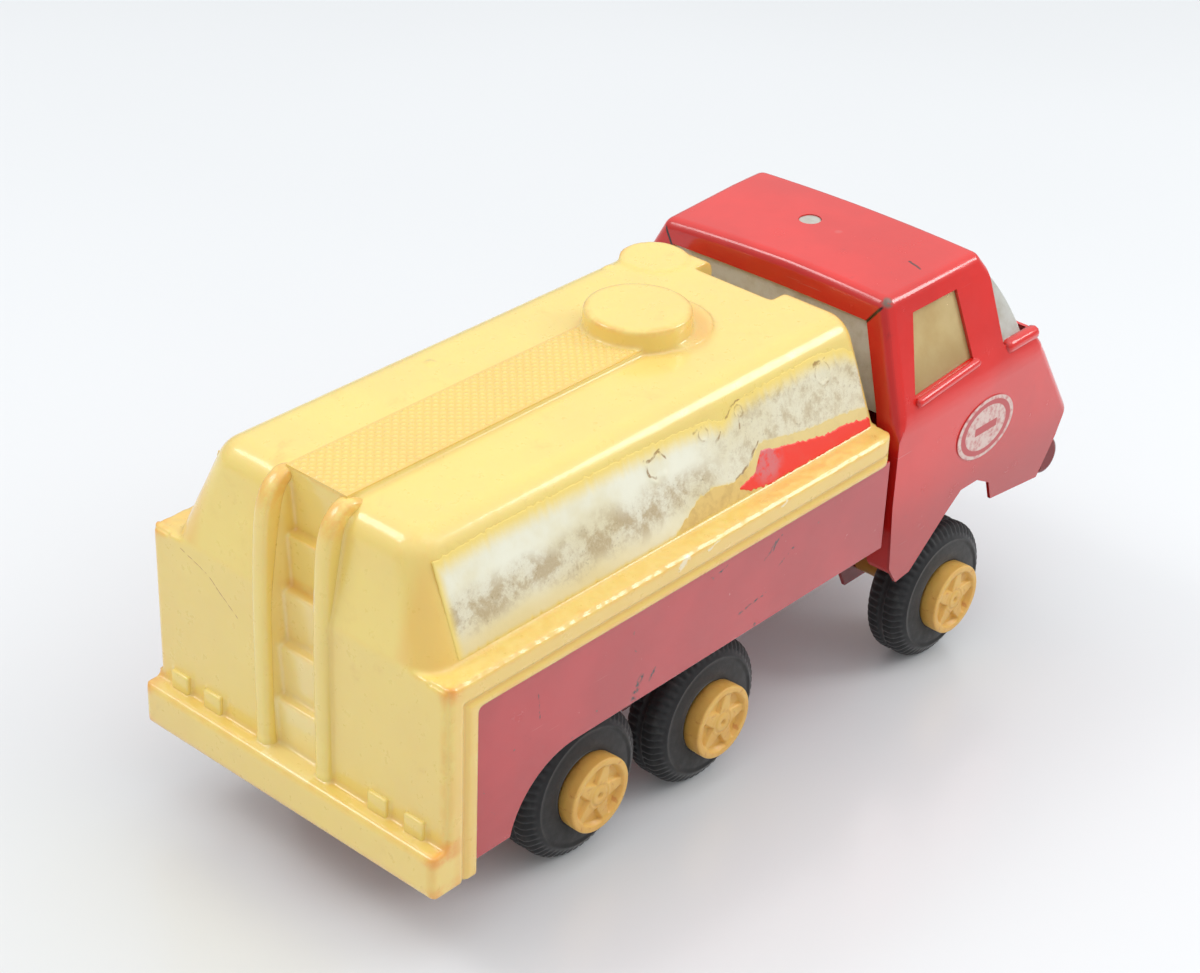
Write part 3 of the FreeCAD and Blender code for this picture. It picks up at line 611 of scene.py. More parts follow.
def light_tab(name, inner, finish):
    """Low square tab above the bumper, with eased edges."""
    x, y, z = (2.9, 4.8), (inner, inner + 5.4), (BUMPER_TOP, 35.8)
    points = [(a, b, c) for c in z for b in y for a in x]
    faces = [(0, 2, 3, 1), (4, 5, 7, 6), (0, 1, 5, 4), (2, 6, 7, 3), (0, 4, 6, 2), (1, 3, 7, 5)]
    made = piece(name, points, faces, finish)
    ease = made.modifiers.new("Ease", "BEVEL")
    ease.width = 0.55 * MM
    ease.segments = 4


def ladder_rail(name, centre, finish):
    """Round-nosed ladder rail: upright from the bumper, then over to the walkway's corner."""
    # x, z and how far the rail reaches inward from there
    path = [(2.5, BUMPER_TOP, 2.6), (2.5, 45.0, 2.6), (2.55, 60.0, 2.6), (2.7, 68.0, 2.8),
            (3.0, 75.0, 4.0), (3.4, 82.0, 5.1), (4.1, 87.2, 5.4), (5.7, 90.9, 5.0),
            (8.3, 93.1, 3.8), (11.2, 94.2, 3.2), (14.5, 92.6, 2.0)]
    nose = [(-2.2, 1.5), (-1.85, 0.5), (-1.0, 0.0), (1.0, 0.0), (1.85, 0.5), (2.2, 1.5)]
    points = []
    for k, (x, z, reach) in enumerate(path):
        before, after = path[max(0, k - 1)], path[min(len(path) - 1, k + 1)]
        length = math.hypot(after[0] - before[0], after[1] - before[1])
        out = (-(after[1] - before[1]) / length, (after[0] - before[0]) / length)
        section = [(nose[0][0], reach)] + nose + [(nose[-1][0], reach)]
        points += [(x - deep * out[0], centre + across, z - deep * out[1])
                   for across, deep in section]
    made = piece(name, points, tube_faces(len(points), len(section)), finish)
    soften = made.modifiers.new("Soften", "SUBSURF")
    soften.levels = soften.render_levels = 2


def make_walkway():
    """Knurled tread plate along the tank's top: V grooves both ways across the slab."""
    finish = moulded_yellow("walkway_plastic")
    # Painted shade: the knurl's grooves are coloured deeper, darkest at their bottoms.
    finish.over(finish.attribute("groove"), YELLOW_DEEP)
    start, end = 11.1, 97.9
    half = WALKWAY_HALF
    step = 0.375
    pitch = 6
    tall = 0.3
    columns = int((end - start) / step) + 1
    rows = int(2 * half / step) + 1
    points = []
    for i in range(rows):
        for j in range(columns):
            edge = min(i, rows - 1 - i, j, columns - 1 - j)
            groove = max(abs((i + j) % pitch - pitch / 2), abs((i - j) % pitch - pitch / 2))
            high = tall - tall * (groove / (pitch / 2)) ** 1.5 if edge > 1 else 0.0
            points.append((start + j * step, -half + i * step, WALKWAY_TOP + high))
    faces = [tuple(reversed(f)) for f in grid_faces(rows, columns)]
    loop = (list(range(columns)) + [i * columns + columns - 1 for i in range(1, rows)]
            + [(rows - 1) * columns + j for j in range(columns - 2, -1, -1)]
            + [i * columns for i in range(rows - 2, 0, -1)])
    top = len(points)
    points += [(points[k][0], points[k][1], WALKWAY_TOP - 0.6) for k in loop]
    for k in range(len(loop)):
        n = (k + 1) % len(loop)
        faces.append((loop[k], loop[n], top + n, top + k))
    faces.append(tuple(top + k for k in reversed(range(len(loop)))))
    plate = piece("walkway_tread", points, faces, finish, smooth=False)
    # The groove mark carries the painted shade of each groove, taken from its depth below the ridge
    # tops.
    depth = [0.5 * (1 - (p[2] - WALKWAY_TOP) / tall) for p in points[:top]] + [0.0] * len(loop)
    mark(plate.data, "groove", depth)


def make_rear():
    """Ladder rails, rubbed at the top and scuffed, and the light tabs above the bumper."""
    finish = moulded_yellow("rail_plastic")
    worn = finish.times(finish.step(finish.axis("z"), 84.0, 92.0, 0.75),
                        finish.step(finish.noise(3, 5, 0.65), 0.3, 0.6))
    finish.over(worn, YELLOW_DEEP)
    scuff = finish.stroke((3.4, -6.9, 71.5), (3.4, -6.9, 75.5), 1.1, 0.4)
    finish.over(scuff, linear(246, 234, 204))
    ladder_rail("left_ladder_rail", WALKWAY_HALF, finish)
    ladder_rail("right_ladder_rail", -WALKWAY_HALF, finish)
    for number, inner in enumerate((-37.4, -27.2, 21.8, 32.0), start=1):
        light_tab("light_tab_%d" % number, inner, finish)


# ---------------- labels

def flank_point(x, up, out, side):
    """Point on the tank's flank: up along the surface from its foot, out from the surface."""
    tilt = math.atan2(TANK_FOOT_HALF - TANK_TOP_HALF, TANK_HIGH_TOP - TANK_LOW_TOP)
    centre_z = TANK_HIGH_TOP - SHOULDER
    inward = (SHOULDER + math.sin(tilt) * (centre_z - TANK_LOW_TOP)) / math.cos(tilt)
    centre_y = TANK_FOOT_HALF - inward
    flat = (centre_z + SHOULDER * math.sin(tilt) - TANK_LOW_TOP) / math.cos(tilt)
    if up <= flat:
        y = TANK_FOOT_HALF - up * math.sin(tilt)
        z = TANK_LOW_TOP + up * math.cos(tilt)
        angle = tilt
    else:
        angle = tilt + (up - flat) / SHOULDER
        y = centre_y + SHOULDER * math.cos(angle)
        z = centre_z + SHOULDER * math.sin(angle)
    return (x, side * (y + out * math.cos(angle)), z + out * math.sin(angle))


def torn_sheet(name, side, low, high, lift, finish, seed, melt=(0.4, 0.4)):
    """Thin paper on the flank between two ragged edges; low and high are (x, up) outlines.

    melt gives how far from its lower and upper edges the paper fades into the plastic.
    """
    start, end = low[0][0], low[-1][0]
    step = 0.5
    columns = int((end - start) / step) + 1
    rows = 56
    points, fade = [], []

    def ragged(x, line, shift):
        wave = 0.55 * noise.noise(Vector((x * 0.8, seed, shift)))
        tooth = 0.35 * noise.noise(Vector((x * 2.8, seed, shift + 1)))
        return np.interp(x, *zip(*line)) + wave + tooth

    for j in range(columns):
        x = start + j * step
        bottom = max(0.25, ragged(x, low, 5))
        top = max(bottom + 0.05, ragged(x, high, 1))
        for i in range(rows):
            up = bottom + (top - bottom) * i / (rows - 1)
            gone = max(1 - (up - bottom) / melt[0], 1 - (top - up) / melt[1],
                       1 - (x - start) / (2 * melt[0]), 0.0)
            gone = gone * gone * (3 - 2 * gone)
            wander = 0.25 * noise.noise(Vector((up * 1.7, seed, 9)))
            x_here = x + (wander if j in (0, columns - 1) else 0.0)
            points.append(flank_point(x_here, up, lift(x, up) * (1 - 0.8 * gone), side))
            fade.append(gone)
    faces = grid_faces(columns, rows)
    if side < 0:
        faces = [tuple(reversed(face)) for face in faces]
    made = piece(name, points, faces, finish)
    mark(made.data, "fade", fade)
    thick = made.modifiers.new("Paper", "SOLIDIFY")
    thick.thickness = 0.1 * MM
    thick.offset = -1
    return made


# Places on the right label, as x and height up the flank
BLISTERS = [(75.0, 16.0, 2.7), (130.5, 17.2, 2.4), (102.2, 18.6, 1.3), (90.5, 17.8, 1.5)]
TEARS = [(71.9, 18.6, 72.8, 15.0), (72.8, 15.0, 75.2, 13.4), (72.5, 18.2, 77.0, 19.4),
         (76.5, 19.3, 78.2, 17.2), (88.0, 19.0, 92.5, 19.6), (96.0, 17.4, 99.0, 19.2),
         (99.0, 19.2, 101.0, 20.6), (101.0, 20.6, 106.5, 21.2), (101.6, 15.2, 102.2, 18.0),
         (106.5, 21.2, 111.0, 20.8), (93.2, 14.4, 95.6, 16.2), (128.5, 19.6, 132.5, 19.9),
         (97.0, 5.0, 101.5, 6.6), (101.5, 6.6, 106.0, 10.2)]
TEAR_WIDTH = 0.42


def blistered(x, up):
    """Height of the right label off the flank: flat, with raised rims round its blisters."""
    height = 0.2 + 0.04 * noise.noise(Vector((x * 0.35, up * 0.35, 3)))
    for centre, level, radius in BLISTERS:
        away = math.hypot(x - centre, up - level)
        broken = 0.5 + noise.noise(Vector((x * 0.5, up * 0.5, radius)))
        height += 0.45 * max(0.0, broken) * math.exp(-((away - radius) / 0.45) ** 2)
    return height


def label_paper():
    """Cream paper: brown cloudy band along its rear half, mottled all over in front."""
    paper = Finish("label_paper", Specular_IOR_Level=0.35, Coat_Weight=0.15,
                   Coat_Roughness=0.3, Roughness=0.55)
    over, step, times, noisy = paper.over, paper.step, paper.times, paper.noise
    x, z = paper.axis("x"), paper.axis("z")
    front = step(x, 82, 106)
    paper.clouds((14, 4), (0.35, 0.7), linear(246, 244, 224), linear(238, 230, 196))
    over(times(step(z, 76.5, 70.5), step(x, 100, 40, 0.75)), linear(236, 214, 148))
    over(times(front, 0.5), linear(226, 214, 178))
    sway = paper.math("MULTIPLY_ADD", noisy(16, 2), 7.0, 73.2)
    spread = paper.math("DIVIDE", paper.size(paper.math("SUBTRACT", z, sway)), 5.6)
    band = times(step(spread, 1.0, 0.25), step(x, 98, 86))
    cloud = step(noisy(5.5, 8, 0.7, 0.2), 0.42, 0.6)
    stain = times(band, paper.math("MULTIPLY_ADD", cloud, 0.62, 0.2))
    mottle = times(step(noisy(4.8, 9, 0.74, 0.3), 0.44, 0.66, 0.66), front)
    over(paper.total([stain, mottle]), linear(184, 160, 118))
    dirty = paper.total([band, times(front, 0.8)])
    over(times(step(noisy(1.1, 6, 0.8), 0.56, 0.68, 0.55), dirty), linear(150, 126, 88))
    over(times(step(noisy(0.5, 4, 0.8), 0.5, 0.62, 0.4), dirty), linear(214, 200, 166))
    over(paper.attribute("fade"), YELLOW)

    def on_right(x, up):
        return flank_point(x, up, 0.2, -1)

    rims = paper.total([paper.ring(on_right(x, up), radius, 0.3, 0.5)
                        for x, up, radius in BLISTERS[1:]])
    tears = paper.strokes([tear + (TEAR_WIDTH,) for tear in TEARS], 0.9, on_right)
    edges = times(paper.total([times(rims, 0.55), tears]), step(noisy(2.4, 4), 0.38, 0.6, 0.8))
    over(edges, linear(152, 112, 60))
    paper.bump(noisy(1.3, 6, 0.7), 0.1, 0.6)
    paper.bump(noisy(0.3, 3), 0.03, 0.5)
    return paper


def label_print():
    """Red print, scuffed pink at its torn rear end."""
    ink = Finish("label_print", Coat_Weight=0.3, Coat_Roughness=0.3, Roughness=0.4)
    ink.clouds((4, 5, 0.65), (0.5, 0.75, 0.3), linear(252, 60, 44), linear(240, 104, 88))
    scuff = ink.step(ink.distance(flank_point(107.0, 6.0, 0.3, -1)), 6.6, 3.0)
    ink.over(ink.times(scuff, ink.step(ink.noise(2.2, 6, 0.7), 0.36, 0.56)),
             linear(228, 118, 120))
    ink.bump(ink.noise(1.0, 4), 0.05, 0.5)
    return ink


def label_glue():
    """Ochre glue left where the paper has gone."""
    glue = Finish("label_glue", Coat_Weight=0.1, Coat_Roughness=0.4, Roughness=0.5)
    glue.clouds((4, 6, 0.7, 0.4), (0.4, 0.7), linear(234, 200, 122), linear(216, 180, 108))
    glue.over(glue.step(glue.axis("x"), 97, 106, 0.6), linear(240, 222, 158))
    glue.over(glue.attribute("fade"), YELLOW)
    glue.bump(glue.noise(1.6, 6, 0.7), 0.08, 0.6)
    return glue


def make_labels():
    """Torn side labels: cream paper with grime, a remnant of red print, and bare glue."""
    paper, ink = label_paper(), label_print()
    low = [(12.6, 0.3), (76, 0.3), (80, 2.4), (85, 5.0), (90, 5.6), (96, 4.2), (101, 5.6),
           (106.4, 9.4), (112, 8.4), (120, 6.8), (135, 5.6), (142.4, 4.6)]
    high = [(12.6, 20.8), (30, 21.6), (70, 21.4), (92, 20.2), (97, 18.4), (102, 21.0),
            (129, 21.6), (139, 20.2), (142.4, 17.5)]
    sheet = torn_sheet("right_label_paper", -1, low, high, blistered, paper, 1.0, (1.2, 4.5))
    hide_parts("right_side_label")

    low = [(97.3, 2.6), (101, 1.2), (106.8, 0.3), (110, 0.5), (122, 0.3), (142.6, 0.3)]
    high = [(97.3, 3.2), (103, 4.6), (105.2, 7.2), (106.4, 8.6), (111.4, 7.2), (120, 5.6),
            (127, 4.3), (135, 4.1), (142.6, 2.6)]
    torn_sheet("right_label_print", -1, low, high, lambda x, up: 0.3, ink, 4.0)

    low = [(76.4, 0.4), (90, 0.4), (98, 0.3), (142.4, 0.3)]
    high = [(76.4, 1.6), (80, 3.6), (85, 6.0), (90, 6.6), (96, 5.2), (103, 7.6), (107, 11.0),
            (120, 8.6), (135, 7.2), (142.4, 5.6)]
    torn_sheet("right_label_glue", -1, low, high, lambda x, up: 0.14, label_glue(), 7.0,
               (0.8, 0.6))

    low = [(12.6, 4.2), (60, 4.8), (96, 4.4), (142.4, 4.4)]
    high = [(12.6, 20.4), (44, 21.4), (52, 17.0), (60, 21.0), (118, 21.5), (142.4, 18.6)]
    sheet = torn_sheet("left_label_paper", 1, low, high, lambda x, up: 0.22, paper, 11.0,
                       (0.4, 2.0))
    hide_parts("left_side_label")

    low = [(12.8, 0.3), (142.2, 0.3)]
    high = [(12.8, 3.6), (48, 4.1), (55, 2.2), (63, 4.0), (110, 4.0), (142.2, 3.8)]
    torn_sheet("left_label_print", 1, low, high, lambda x, up: 0.25, ink, 14.0)


# ---------------- cab

CAB_BELT = 68.0
CAB_ROOF = 95.0
CAB_HALF = 42.5
ROOF_HALF = 32.4
CAB_LEAN = (CAB_HALF - ROOF_HALF) / (CAB_ROOF - CAB_BELT)
BADGE = Vector((182.0, 0.0, 55.4))
BADGE_HALF_LONG = 11.3
BADGE_HALF_HIGH = 7.7


def cut_up(mesh, cuts):
    """Clean a CAD mesh and cut it by planes, so that it can be bent smoothly."""
    work = bmesh.new()
    work.from_mesh(mesh)
    bmesh.ops.remove_doubles(work, verts=work.verts, dist=0.00001)
    for axis, places in cuts:
        for place in places:
            normal = Vector((0, 0, 0))
            normal[axis] = 1.0
            bmesh.ops.bisect_plane(work, geom=work.verts[:] + work.edges[:] + work.faces[:],
                                   plane_co=normal * place * MM, plane_no=normal, dist=0.000001)
    bmesh.ops.remove_doubles(work, verts=work.verts, dist=0.000002)
    work.to_mesh(mesh)
    work.free()


def bend_roof(points):
    """Crown the roof and let its rear left corner droop."""
    x, y, z = points[:, 0], points[:, 1], points[:, 2]
    high = np.clip((z - 86.0) / 8.0, 0, 1)
    corner = np.clip((y + 5) / 38.0, 0, 1) * np.clip((178 - x) / 27.0, 0, 1)
    points[:, 2] += (0.9 * (1 - (y / 33.0) ** 2).clip(0, 1) - 1.5 * corner) * high


def bend_cab(mesh):
    """Bend the roof and round the crease at the belt."""
    points = coordinates(mesh) / MM
    bend_roof(points)
    y, z = points[:, 1], points[:, 2]
    reach = 2.5
    near = np.clip(z - CAB_BELT, -reach, reach)
    soft = (near + reach) ** 2 / (4 * reach) - np.maximum(near, 0.0)
    points[:, 1] -= np.sign(y) * CAB_LEAN * soft * (np.abs(y) > 30)
    reshape(mesh, points)


def pressed(node, finish, cuts, shape=None, bevel=0.22):
    """Detailed copy of a sheet-metal node: cut up, bent if asked, and its sharp edges eased."""
    made = added(node + "_pressed", level_copy(node))
    cut_up(made.data, cuts)
    if shape:
        shape(made.data)
    finished_mesh(made.data, finish)
    made.data.transform(LEVEL)
    if bevel:
        ease = made.modifiers.new("Edges", "BEVEL")
        ease.width = bevel * MM
        ease.segments = 2
        ease.limit_method = "ANGLE"
        ease.angle_limit = math.radians(40)
    shade = made.modifiers.new("Shade", "WEIGHTED_NORMAL")
    shade.keep_sharp = True
    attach(made, "truck")
    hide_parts(node)
    return made


def bead(name, route, radius, finish):
    """Rounded rib along a route of points, with ball ends."""
    sides = 10
    route = [Vector(p) for p in route]
    first, last = (route[1] - route[0]).normalized(), (route[-1] - route[-2]).normalized()
    cap = [(radius * math.cos(turn), radius * math.sin(turn) + 0.02) for turn in turns(16)[:4]]
    stations = [(route[0] - first * out, size) for out, size in cap]
    stations += [(point, radius) for point in route]
    stations += [(route[-1] + last * out, size) for out, size in reversed(cap)]
    points = []
    for n, (place, size) in enumerate(stations):
        before = stations[max(0, n - 1)][0]
        after = stations[min(len(stations) - 1, n + 1)][0]
        along = (after - before).normalized()
        across = along.cross(Vector((0.1, 0.2, 1.0))).normalized()
        over = along.cross(across)
        for turn in turns(sides):
            points.append(place + size * (math.cos(turn) * across + math.sin(turn) * over))
    made = piece(name, points, tube_faces(len(points), sides), finish)


def cab_side(x, z, side, out=0.0):
    """Point on the cab's side panel."""
    return (x, side * (CAB_HALF - CAB_LEAN * max(0.0, z - CAB_BELT) + out), z)


def cab_finish():
    """Paint of the cab: painted shade on its rear-facing flanges and low on its sides, mitre seam
    and bare corner at the roof's back.
    """
    paint = red_paint("cab_paint", linear(232, 40, 34), chips=0.74, coat=0.6)
    # Painted shade on the faces that look backward, such as the rear flanges and the roof's rear
    # lip.
    paint.over(paint.step(facing(paint)["X"], -0.55, -0.8, 0.35), linear(126, 8, 6))
    # Painted shade: the cab's sides darken towards their foot, standing in for the shadowed floor
    # reflected in them.
    low = paint.times(paint.step(paint.axis("z"), 62, 34, 0.6),
                      paint.step(paint.size(paint.axis("y")), 41.5, 42.2))
    paint.over(low, linear(150, 16, 20))
    scratch = paint.stroke((170.9, -24.4, 95.5), (169.9, -28.0, 95.1), 0.55, 0.5)
    paint.over(scratch, linear(96, 24, 20))
    seam = paint.total([paint.stroke((151.4, -32.6, 94.8), (150.2, -28.0, 88.8), 0.55, 0.1),
                        paint.stroke((151.4, 32.6, 93.4), (150.2, 28.0, 87.4), 0.45, 0.1)])
    paint.over(seam, linear(38, 8, 6))
    chip = paint.times(paint.step(paint.distance((152.0, -32.4, 95.0)), 2.3, 1.3),
                       paint.step(paint.noise(1.2, 5), 0.34, 0.46))
    paint.over(chip, linear(122, 94, 82))
    return paint


def make_cab():
    """Cab shell with its bent roof, and the rolled edges that stand out of it."""
    finish = cab_finish()
    cuts = [(1, range(-36, 37, 4)), (2, (65.5, 66.5, 67.5, 68.5, 69.5, 70.5, 80, 86, 90)),
            (0, range(152, 190, 6))]
    shell = pressed("cab_shell", finish, cuts, bend_cab)
    for side, word in ((-1, "right"), (1, "left")):
        sill = [cab_side(155.2 + 22.4 * t / 6, 71.8 + 1.5 * t / 6, side, 0.2) for t in range(7)]
        bead(word + "_window_sill", sill, 1.2, finish)
        cowl = [cab_side(191.6 + 9.8 * t / 4, 72.3, side, -0.7) for t in range(5)]
        bead(word + "_cowl_lip", cowl, 1.8, finish)
    bead("front_cowl_lip", [(201.9, -35 + 70 * t / 8, 72.5) for t in range(9)], 0.9, finish)


def glazing_finish():
    """Clear moulding gone cloudy: tan in the side windows, whiter at the screen, back and peg."""
    clear = Finish("clear_plastic", Transmission_Weight=0.35, IOR=1.45, Coat_Weight=0.5,
                   Coat_Roughness=0.1)
    x, z = clear.axis("x"), clear.axis("z")
    tan = clear.mix(clear.step(clear.noise(12, 5), 0.35, 0.7), linear(244, 218, 156),
                    linear(230, 198, 132))
    tan = clear.mix(clear.step(z, 84, 74, 0.5), tan, linear(196, 164, 104))
    pale = clear.mix(clear.step(clear.noise(7, 6, 0.7), 0.4, 0.7), linear(238, 238, 230),
                     linear(216, 210, 194))
    ends = clear.total([clear.step(x, 188.6, 189.4), clear.step(x, 155, 153.5),
                        clear.step(z, 93.2, 93.8)])
    clear.colour(clear.mix(ends, tan, pale))
    clear.roughness((4, 5), (-0.1, 2.2))
    clear.bump(clear.noise(6, 3), 0.1, 0.3)
    return clear


def bulge_screen(mesh):
    """Swell the windscreen, lean its foot back behind the cowl, and bend the top as the roof."""
    points = coordinates(mesh) / MM
    bend_roof(points)
    foot, head = np.array((202.6, 72.8)), np.array((187.2, 95.0))
    along = (head - foot) / np.linalg.norm(head - foot)
    out = np.array((along[1], -along[0]))
    place = points[:, (0, 2)] - foot
    share = np.clip((place @ along - 0.5) / 23.0, 0, 1)
    depth = place @ out
    near = np.clip((depth + 9.0) / 8.0, 0, 1) * (points[:, 0] > 189.3)
    swell = (0.9 * (1 - (2 * share - 1) ** 2) - 2.6 * (1 - share) ** 2) * near
    points[:, 0] += swell * out[0]
    points[:, 2] += swell * out[1]
    reshape(mesh, points)


def make_glazing():
    cuts = [(0, [189.35] + [190 + 1.2 * k for k in range(13)]), (1, range(-36, 37, 6)),
            (2, [73 + 1.8 * k for k in range(12)])]
    glazing = pressed("cab_glazing", glazing_finish(), cuts, bulge_screen, bevel=0)


def badge_finish():
    """Plain white ring round an oval with a bar, all worn."""
    finish = Finish("badge_print", Coat_Weight=0.3, Coat_Roughness=0.2, Roughness=0.35)
    step, times = finish.step, finish.times
    place = finish.vector("SUBTRACT", finish.mm, BADGE)[0]
    place = finish.vector("MULTIPLY", place, (1 / BADGE_HALF_LONG, 0.0, 1 / BADGE_HALF_HIGH))[0]
    away = finish.vector("LENGTH", place)["Value"]
    soft = 0.012

    def band(inner, outer):
        return times(step(away, inner - soft, inner + soft), step(away, outer + soft, outer - soft))

    bar = times(step(finish.size(finish.axis("z", place)), 0.15, 0.12),
                step(finish.size(finish.axis("x", place)), 0.4, 0.37))
    worn = step(finish.noise(1.6, 7, 0.7), 0.44, 0.64, 0.7)
    white = finish.total([band(0.88, 0.99), band(-0.1, 0.72)])
    for gone in (bar, worn):
        white = times(white, finish.math("SUBTRACT", 1.0, gone))
    finish.colour(finish.mix(white, linear(196, 66, 68), linear(228, 200, 190)))
    finish.bump(finish.noise(1.2, 5), 0.02, 0.4)
    return finish


def make_badges():
    """Oval door badges with a generic mark."""
    finish = badge_finish()
    steps = 96
    rings = [(0.02, 0.3), (0.5, 0.3), (0.97, 0.3), (1.0, 0.22), (1.0, 0.0)]
    for word, side in (("right", -1), ("left", 1)):
        points = []
        for share, out in rings:
            for turn in turns(steps):
                points.append((BADGE.x + BADGE_HALF_LONG * share * math.cos(turn),
                               side * (CAB_HALF + out),
                               BADGE.z + BADGE_HALF_HIGH * share * math.sin(turn)))
        faces = grid_faces(len(rings), steps, wrap_columns=True)
        faces.append(tuple(range(steps)))
        if side > 0:
            faces = [tuple(reversed(face)) for face in faces]
        badge = piece(word + "_badge_oval", points, faces, finish, smooth=False)
        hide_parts(word + "_door_badge")


def nose_foil():
    """Silver foil with printed grille slats and a round lamp at each end."""
    foil = Finish("foil_label", Metallic=0.85)
    slat_pitch = 2.6
    slats = foil.math("SINE", foil.times(foil.axis("z"), 2 * math.pi / slat_pitch))
    slats = foil.times(foil.step(slats, -0.1, 0.15),
                       foil.step(foil.size(foil.axis("y")), 19.5, 19.0))
    lamp = foil.math("MINIMUM", *[foil.distance((210.7, y, 60.5)) for y in (-24.3, 24.3)])
    rim = foil.step(foil.size(foil.math("SUBTRACT", lamp, 4.2)), 0.5, 0.3)
    foil.clouds((5, 5), (0.4, 0.7), linear(205, 205, 200), linear(178, 176, 170))
    foil.over(foil.total([slats, rim]), linear(38, 36, 36))
    foil.roughness((2, 5), (-0.5, 1.6))
    foil.bump(foil.noise(1.5, 5), 0.03, 0.5)
    return foil


# ---------------- pan and underside

# Knocks in the paint of each skirt, as x, z, x, z and width
KNOCKS = {
    -42.0: [(59.2, 39.3, 61.6, 44.0, 1.0), (64.3, 41.6, 65.8, 43.9, 0.5),
            (93.0, 44.8, 101.0, 45.6, 0.4), (103.6, 56.0, 106.4, 58.6, 0.5),
            (106.0, 51.0, 111.0, 53.4, 0.35), (98.0, 37.0, 99.0, 39.6, 0.6),
            (101.0, 54.6, 104.5, 57.6, 0.4), (84.0, 58.0, 88.0, 59.0, 0.3),
            (30.0, 55.5, 31.0, 49.0, 0.25)],
    42.0: [(70.0, 44.0, 78.0, 45.0, 0.7), (118.0, 52.0, 120.0, 57.0, 0.8)]}


def facing(finish):
    """Components of the true normal."""
    normal = finish.node("ShaderNodeNewGeometry").outputs["True Normal"]
    return finish.node("ShaderNodeSeparateXYZ", {0: normal}).outputs


def pan_finish():
    """Paint of the bed pan: scratches where it was knocked, bare steel on its cut edges."""
    paint = red_paint("pan_paint", linear(196, 54, 58), chips=0.7, coat=0.6)
    marks = paint.total([paint.strokes(lines, 0.8, lambda x, z: (x, side, z))
                         for side, lines in KNOCKS.items()])
    marks = paint.times(marks, paint.step(paint.noise(1.4, 5), 0.42, 0.56))
    paint.over(marks, linear(74, 40, 40))
    bare = paint.times(paint.step(facing(paint)["Z"], -0.12, -0.34),
                       paint.step(paint.size(paint.axis("y")), 41.0, 41.3))
    paint.over(bare, linear(226, 200, 196))
    return paint


def axle_steel():
    steel = Finish("axle_steel", Metallic=1.0)
    steel.clouds((3, 6), (0.4, 0.7), linear(170, 168, 165), linear(110, 100, 92))
    steel.roughness((1, 5), (-0.4, 1.6))
    steel.bump(steel.noise(0.6, 5), 0.03, 0.4)
    return steel


# ---------------- set

def softbox(name, place, target, size, watts):
    """Rectangular area light turned to a target."""
    light = bpy.data.lights.new(name, "AREA")
    light.shape = "RECTANGLE"
    light.size, light.size_y = size
    light.energy = watts
    lamp = added(name, light)
    lamp.location = place
    lamp.rotation_euler = (Vector(target) - Vector(place)).to_track_quat("-Z", "Y").to_euler()


def make_floor():
    finish = Finish("studio_floor", Emission_Strength=0.03, Roughness=0.24)
    finish.shader.inputs["Emission Color"].default_value = (0.95, 0.975, 1.0, 1.0)
    finish.clouds((400, 2), (0.3, 0.7), linear(226, 228, 230), linear(229, 231, 233))
    mesh = bpy.data.meshes.new("floor")
    reach = 6.0
    mesh.from_pydata([(-reach, -reach, 0), (reach, -reach, 0), (reach, reach, 0),
                      (-reach, reach, 0)], [], [(0, 1, 2, 3)])
    mesh.materials.append(finish.material)
    floor = added("floor", mesh)


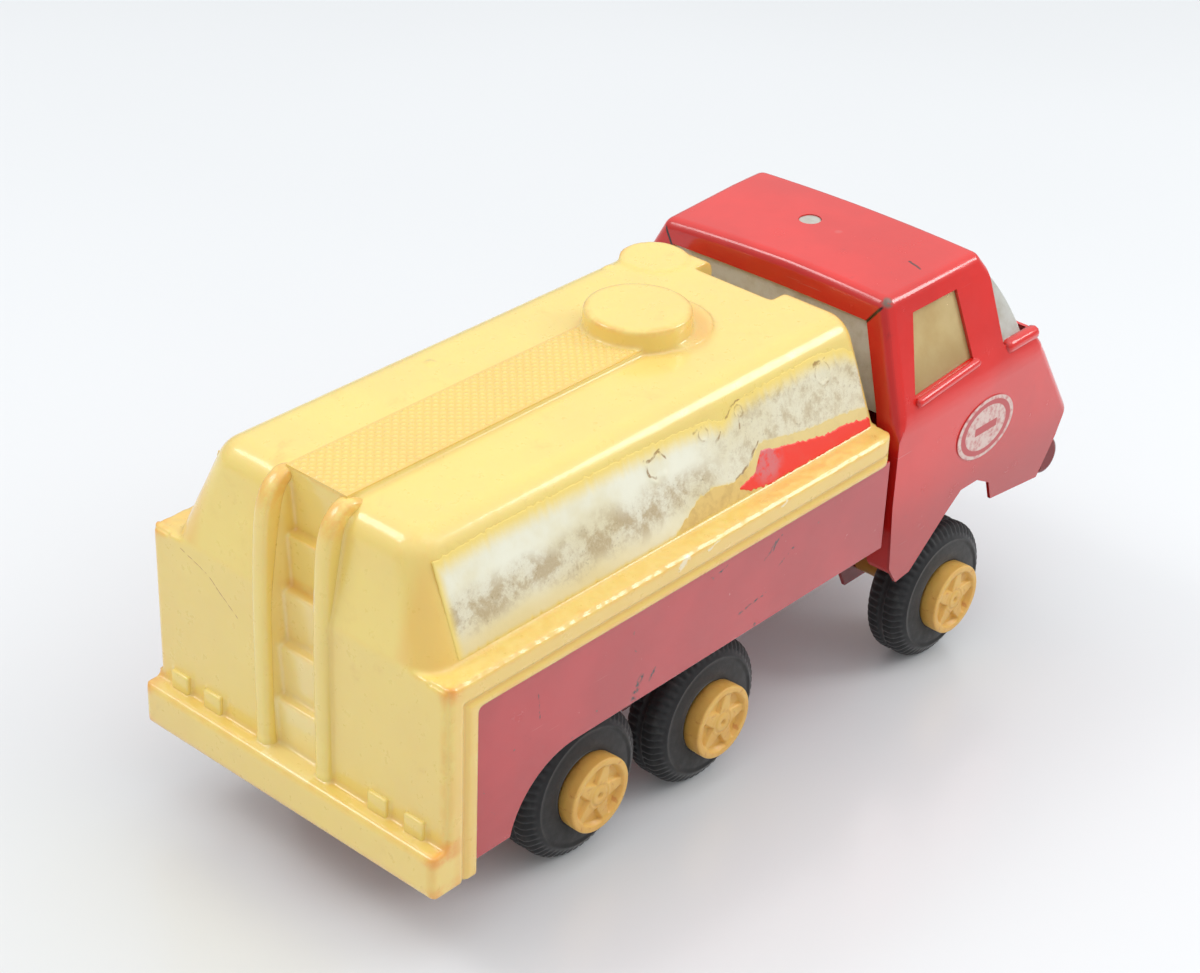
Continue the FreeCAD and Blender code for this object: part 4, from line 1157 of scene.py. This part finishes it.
def make_lights():
    """Soft world, brighter toward the zenith, and three softboxes."""
    world = bpy.data.worlds.new("studio")
    world.use_nodes = True
    tree = world.node_tree
    direction = tree.nodes.new("ShaderNodeTexCoord")
    height = tree.nodes.new("ShaderNodeSeparateXYZ")
    tree.links.new(direction.outputs["Generated"], height.inputs[0])
    brightness = tree.nodes.new("ShaderNodeMapRange")
    tree.links.new(height.outputs["Z"], brightness.inputs["Value"])
    brightness.inputs["To Min"].default_value = 0.30
    brightness.inputs["To Max"].default_value = 1.29
    background = tree.nodes["Background"]
    background.inputs["Color"].default_value = (0.975, 0.99, 1.0, 1.0)
    tree.links.new(brightness.outputs["Result"], background.inputs["Strength"])
    bpy.context.scene.world = world
    softbox("key", (-0.55, 0.62, 0.90), (0, 0, 0.04), (0.42, 0.32), 2.4)
    softbox("fill", (0.66, -0.50, 0.62), (0, 0, 0.02), (0.3, 0.3), 2.0)
    softbox("top", (0.2, -0.45, 1.05), (0, 0, 0), (0.6, 0.6), 0.9)


def make_camera():
    """Camera at the photo's angle, found by fitting the truck's long edges."""
    target = Vector((-0.01597, 0.0, 0.0597))
    distance = 0.57537
    azimuth, elevation, roll = (math.radians(a) for a in (-50.268, 28.469, 4.403))
    camera = bpy.data.cameras.new("camera")
    camera.lens = 78.41
    camera.sensor_width = 36.0
    camera.sensor_fit = "HORIZONTAL"
    camera.clip_start = 0.01
    camera.clip_end = 50.0
    back = Vector((math.sin(azimuth) * math.cos(elevation),
                   -math.cos(azimuth) * math.cos(elevation), math.sin(elevation)))
    flat = Vector((math.cos(azimuth), math.sin(azimuth), 0.0))
    upright = back.cross(flat)
    right = math.cos(roll) * flat + math.sin(roll) * upright
    up = -math.sin(roll) * flat + math.cos(roll) * upright
    holder = added("camera", camera)
    basis = Matrix((right, up, back)).transposed().to_4x4()
    holder.matrix_world = Matrix.Translation(target + back * distance) @ basis
    bpy.context.scene.camera = holder
    bpy.context.scene.view_settings.view_transform = "Standard"


# ---------------- build

paint_nodes(red_paint("chassis_paint", linear(172, 22, 26), chips=0.7, coat=0.1),
            "chassis_frame", "rear_axle_bracket", "front_axle_bracket", "cab_floor")
paint_nodes(red_paint("bumper_paint", linear(128, 12, 16), chips=0.75, coat=0.0, specular=0.25),
            "front_bumper")
paint_nodes(axle_steel(), "front_axle", "middle_axle", "rear_axle", "bed_rivets", "cab_rivets",
            "tank_screws")
paint_nodes(nose_foil(), "nose_label")
pan = pressed("bed_pan", pan_finish(), [], bevel=0.32)
make_wheels()
make_tank()
make_walkway()
make_rear()
make_labels()
make_cab()
make_glazing()
make_badges()
make_floor()
make_lights()
make_camera()
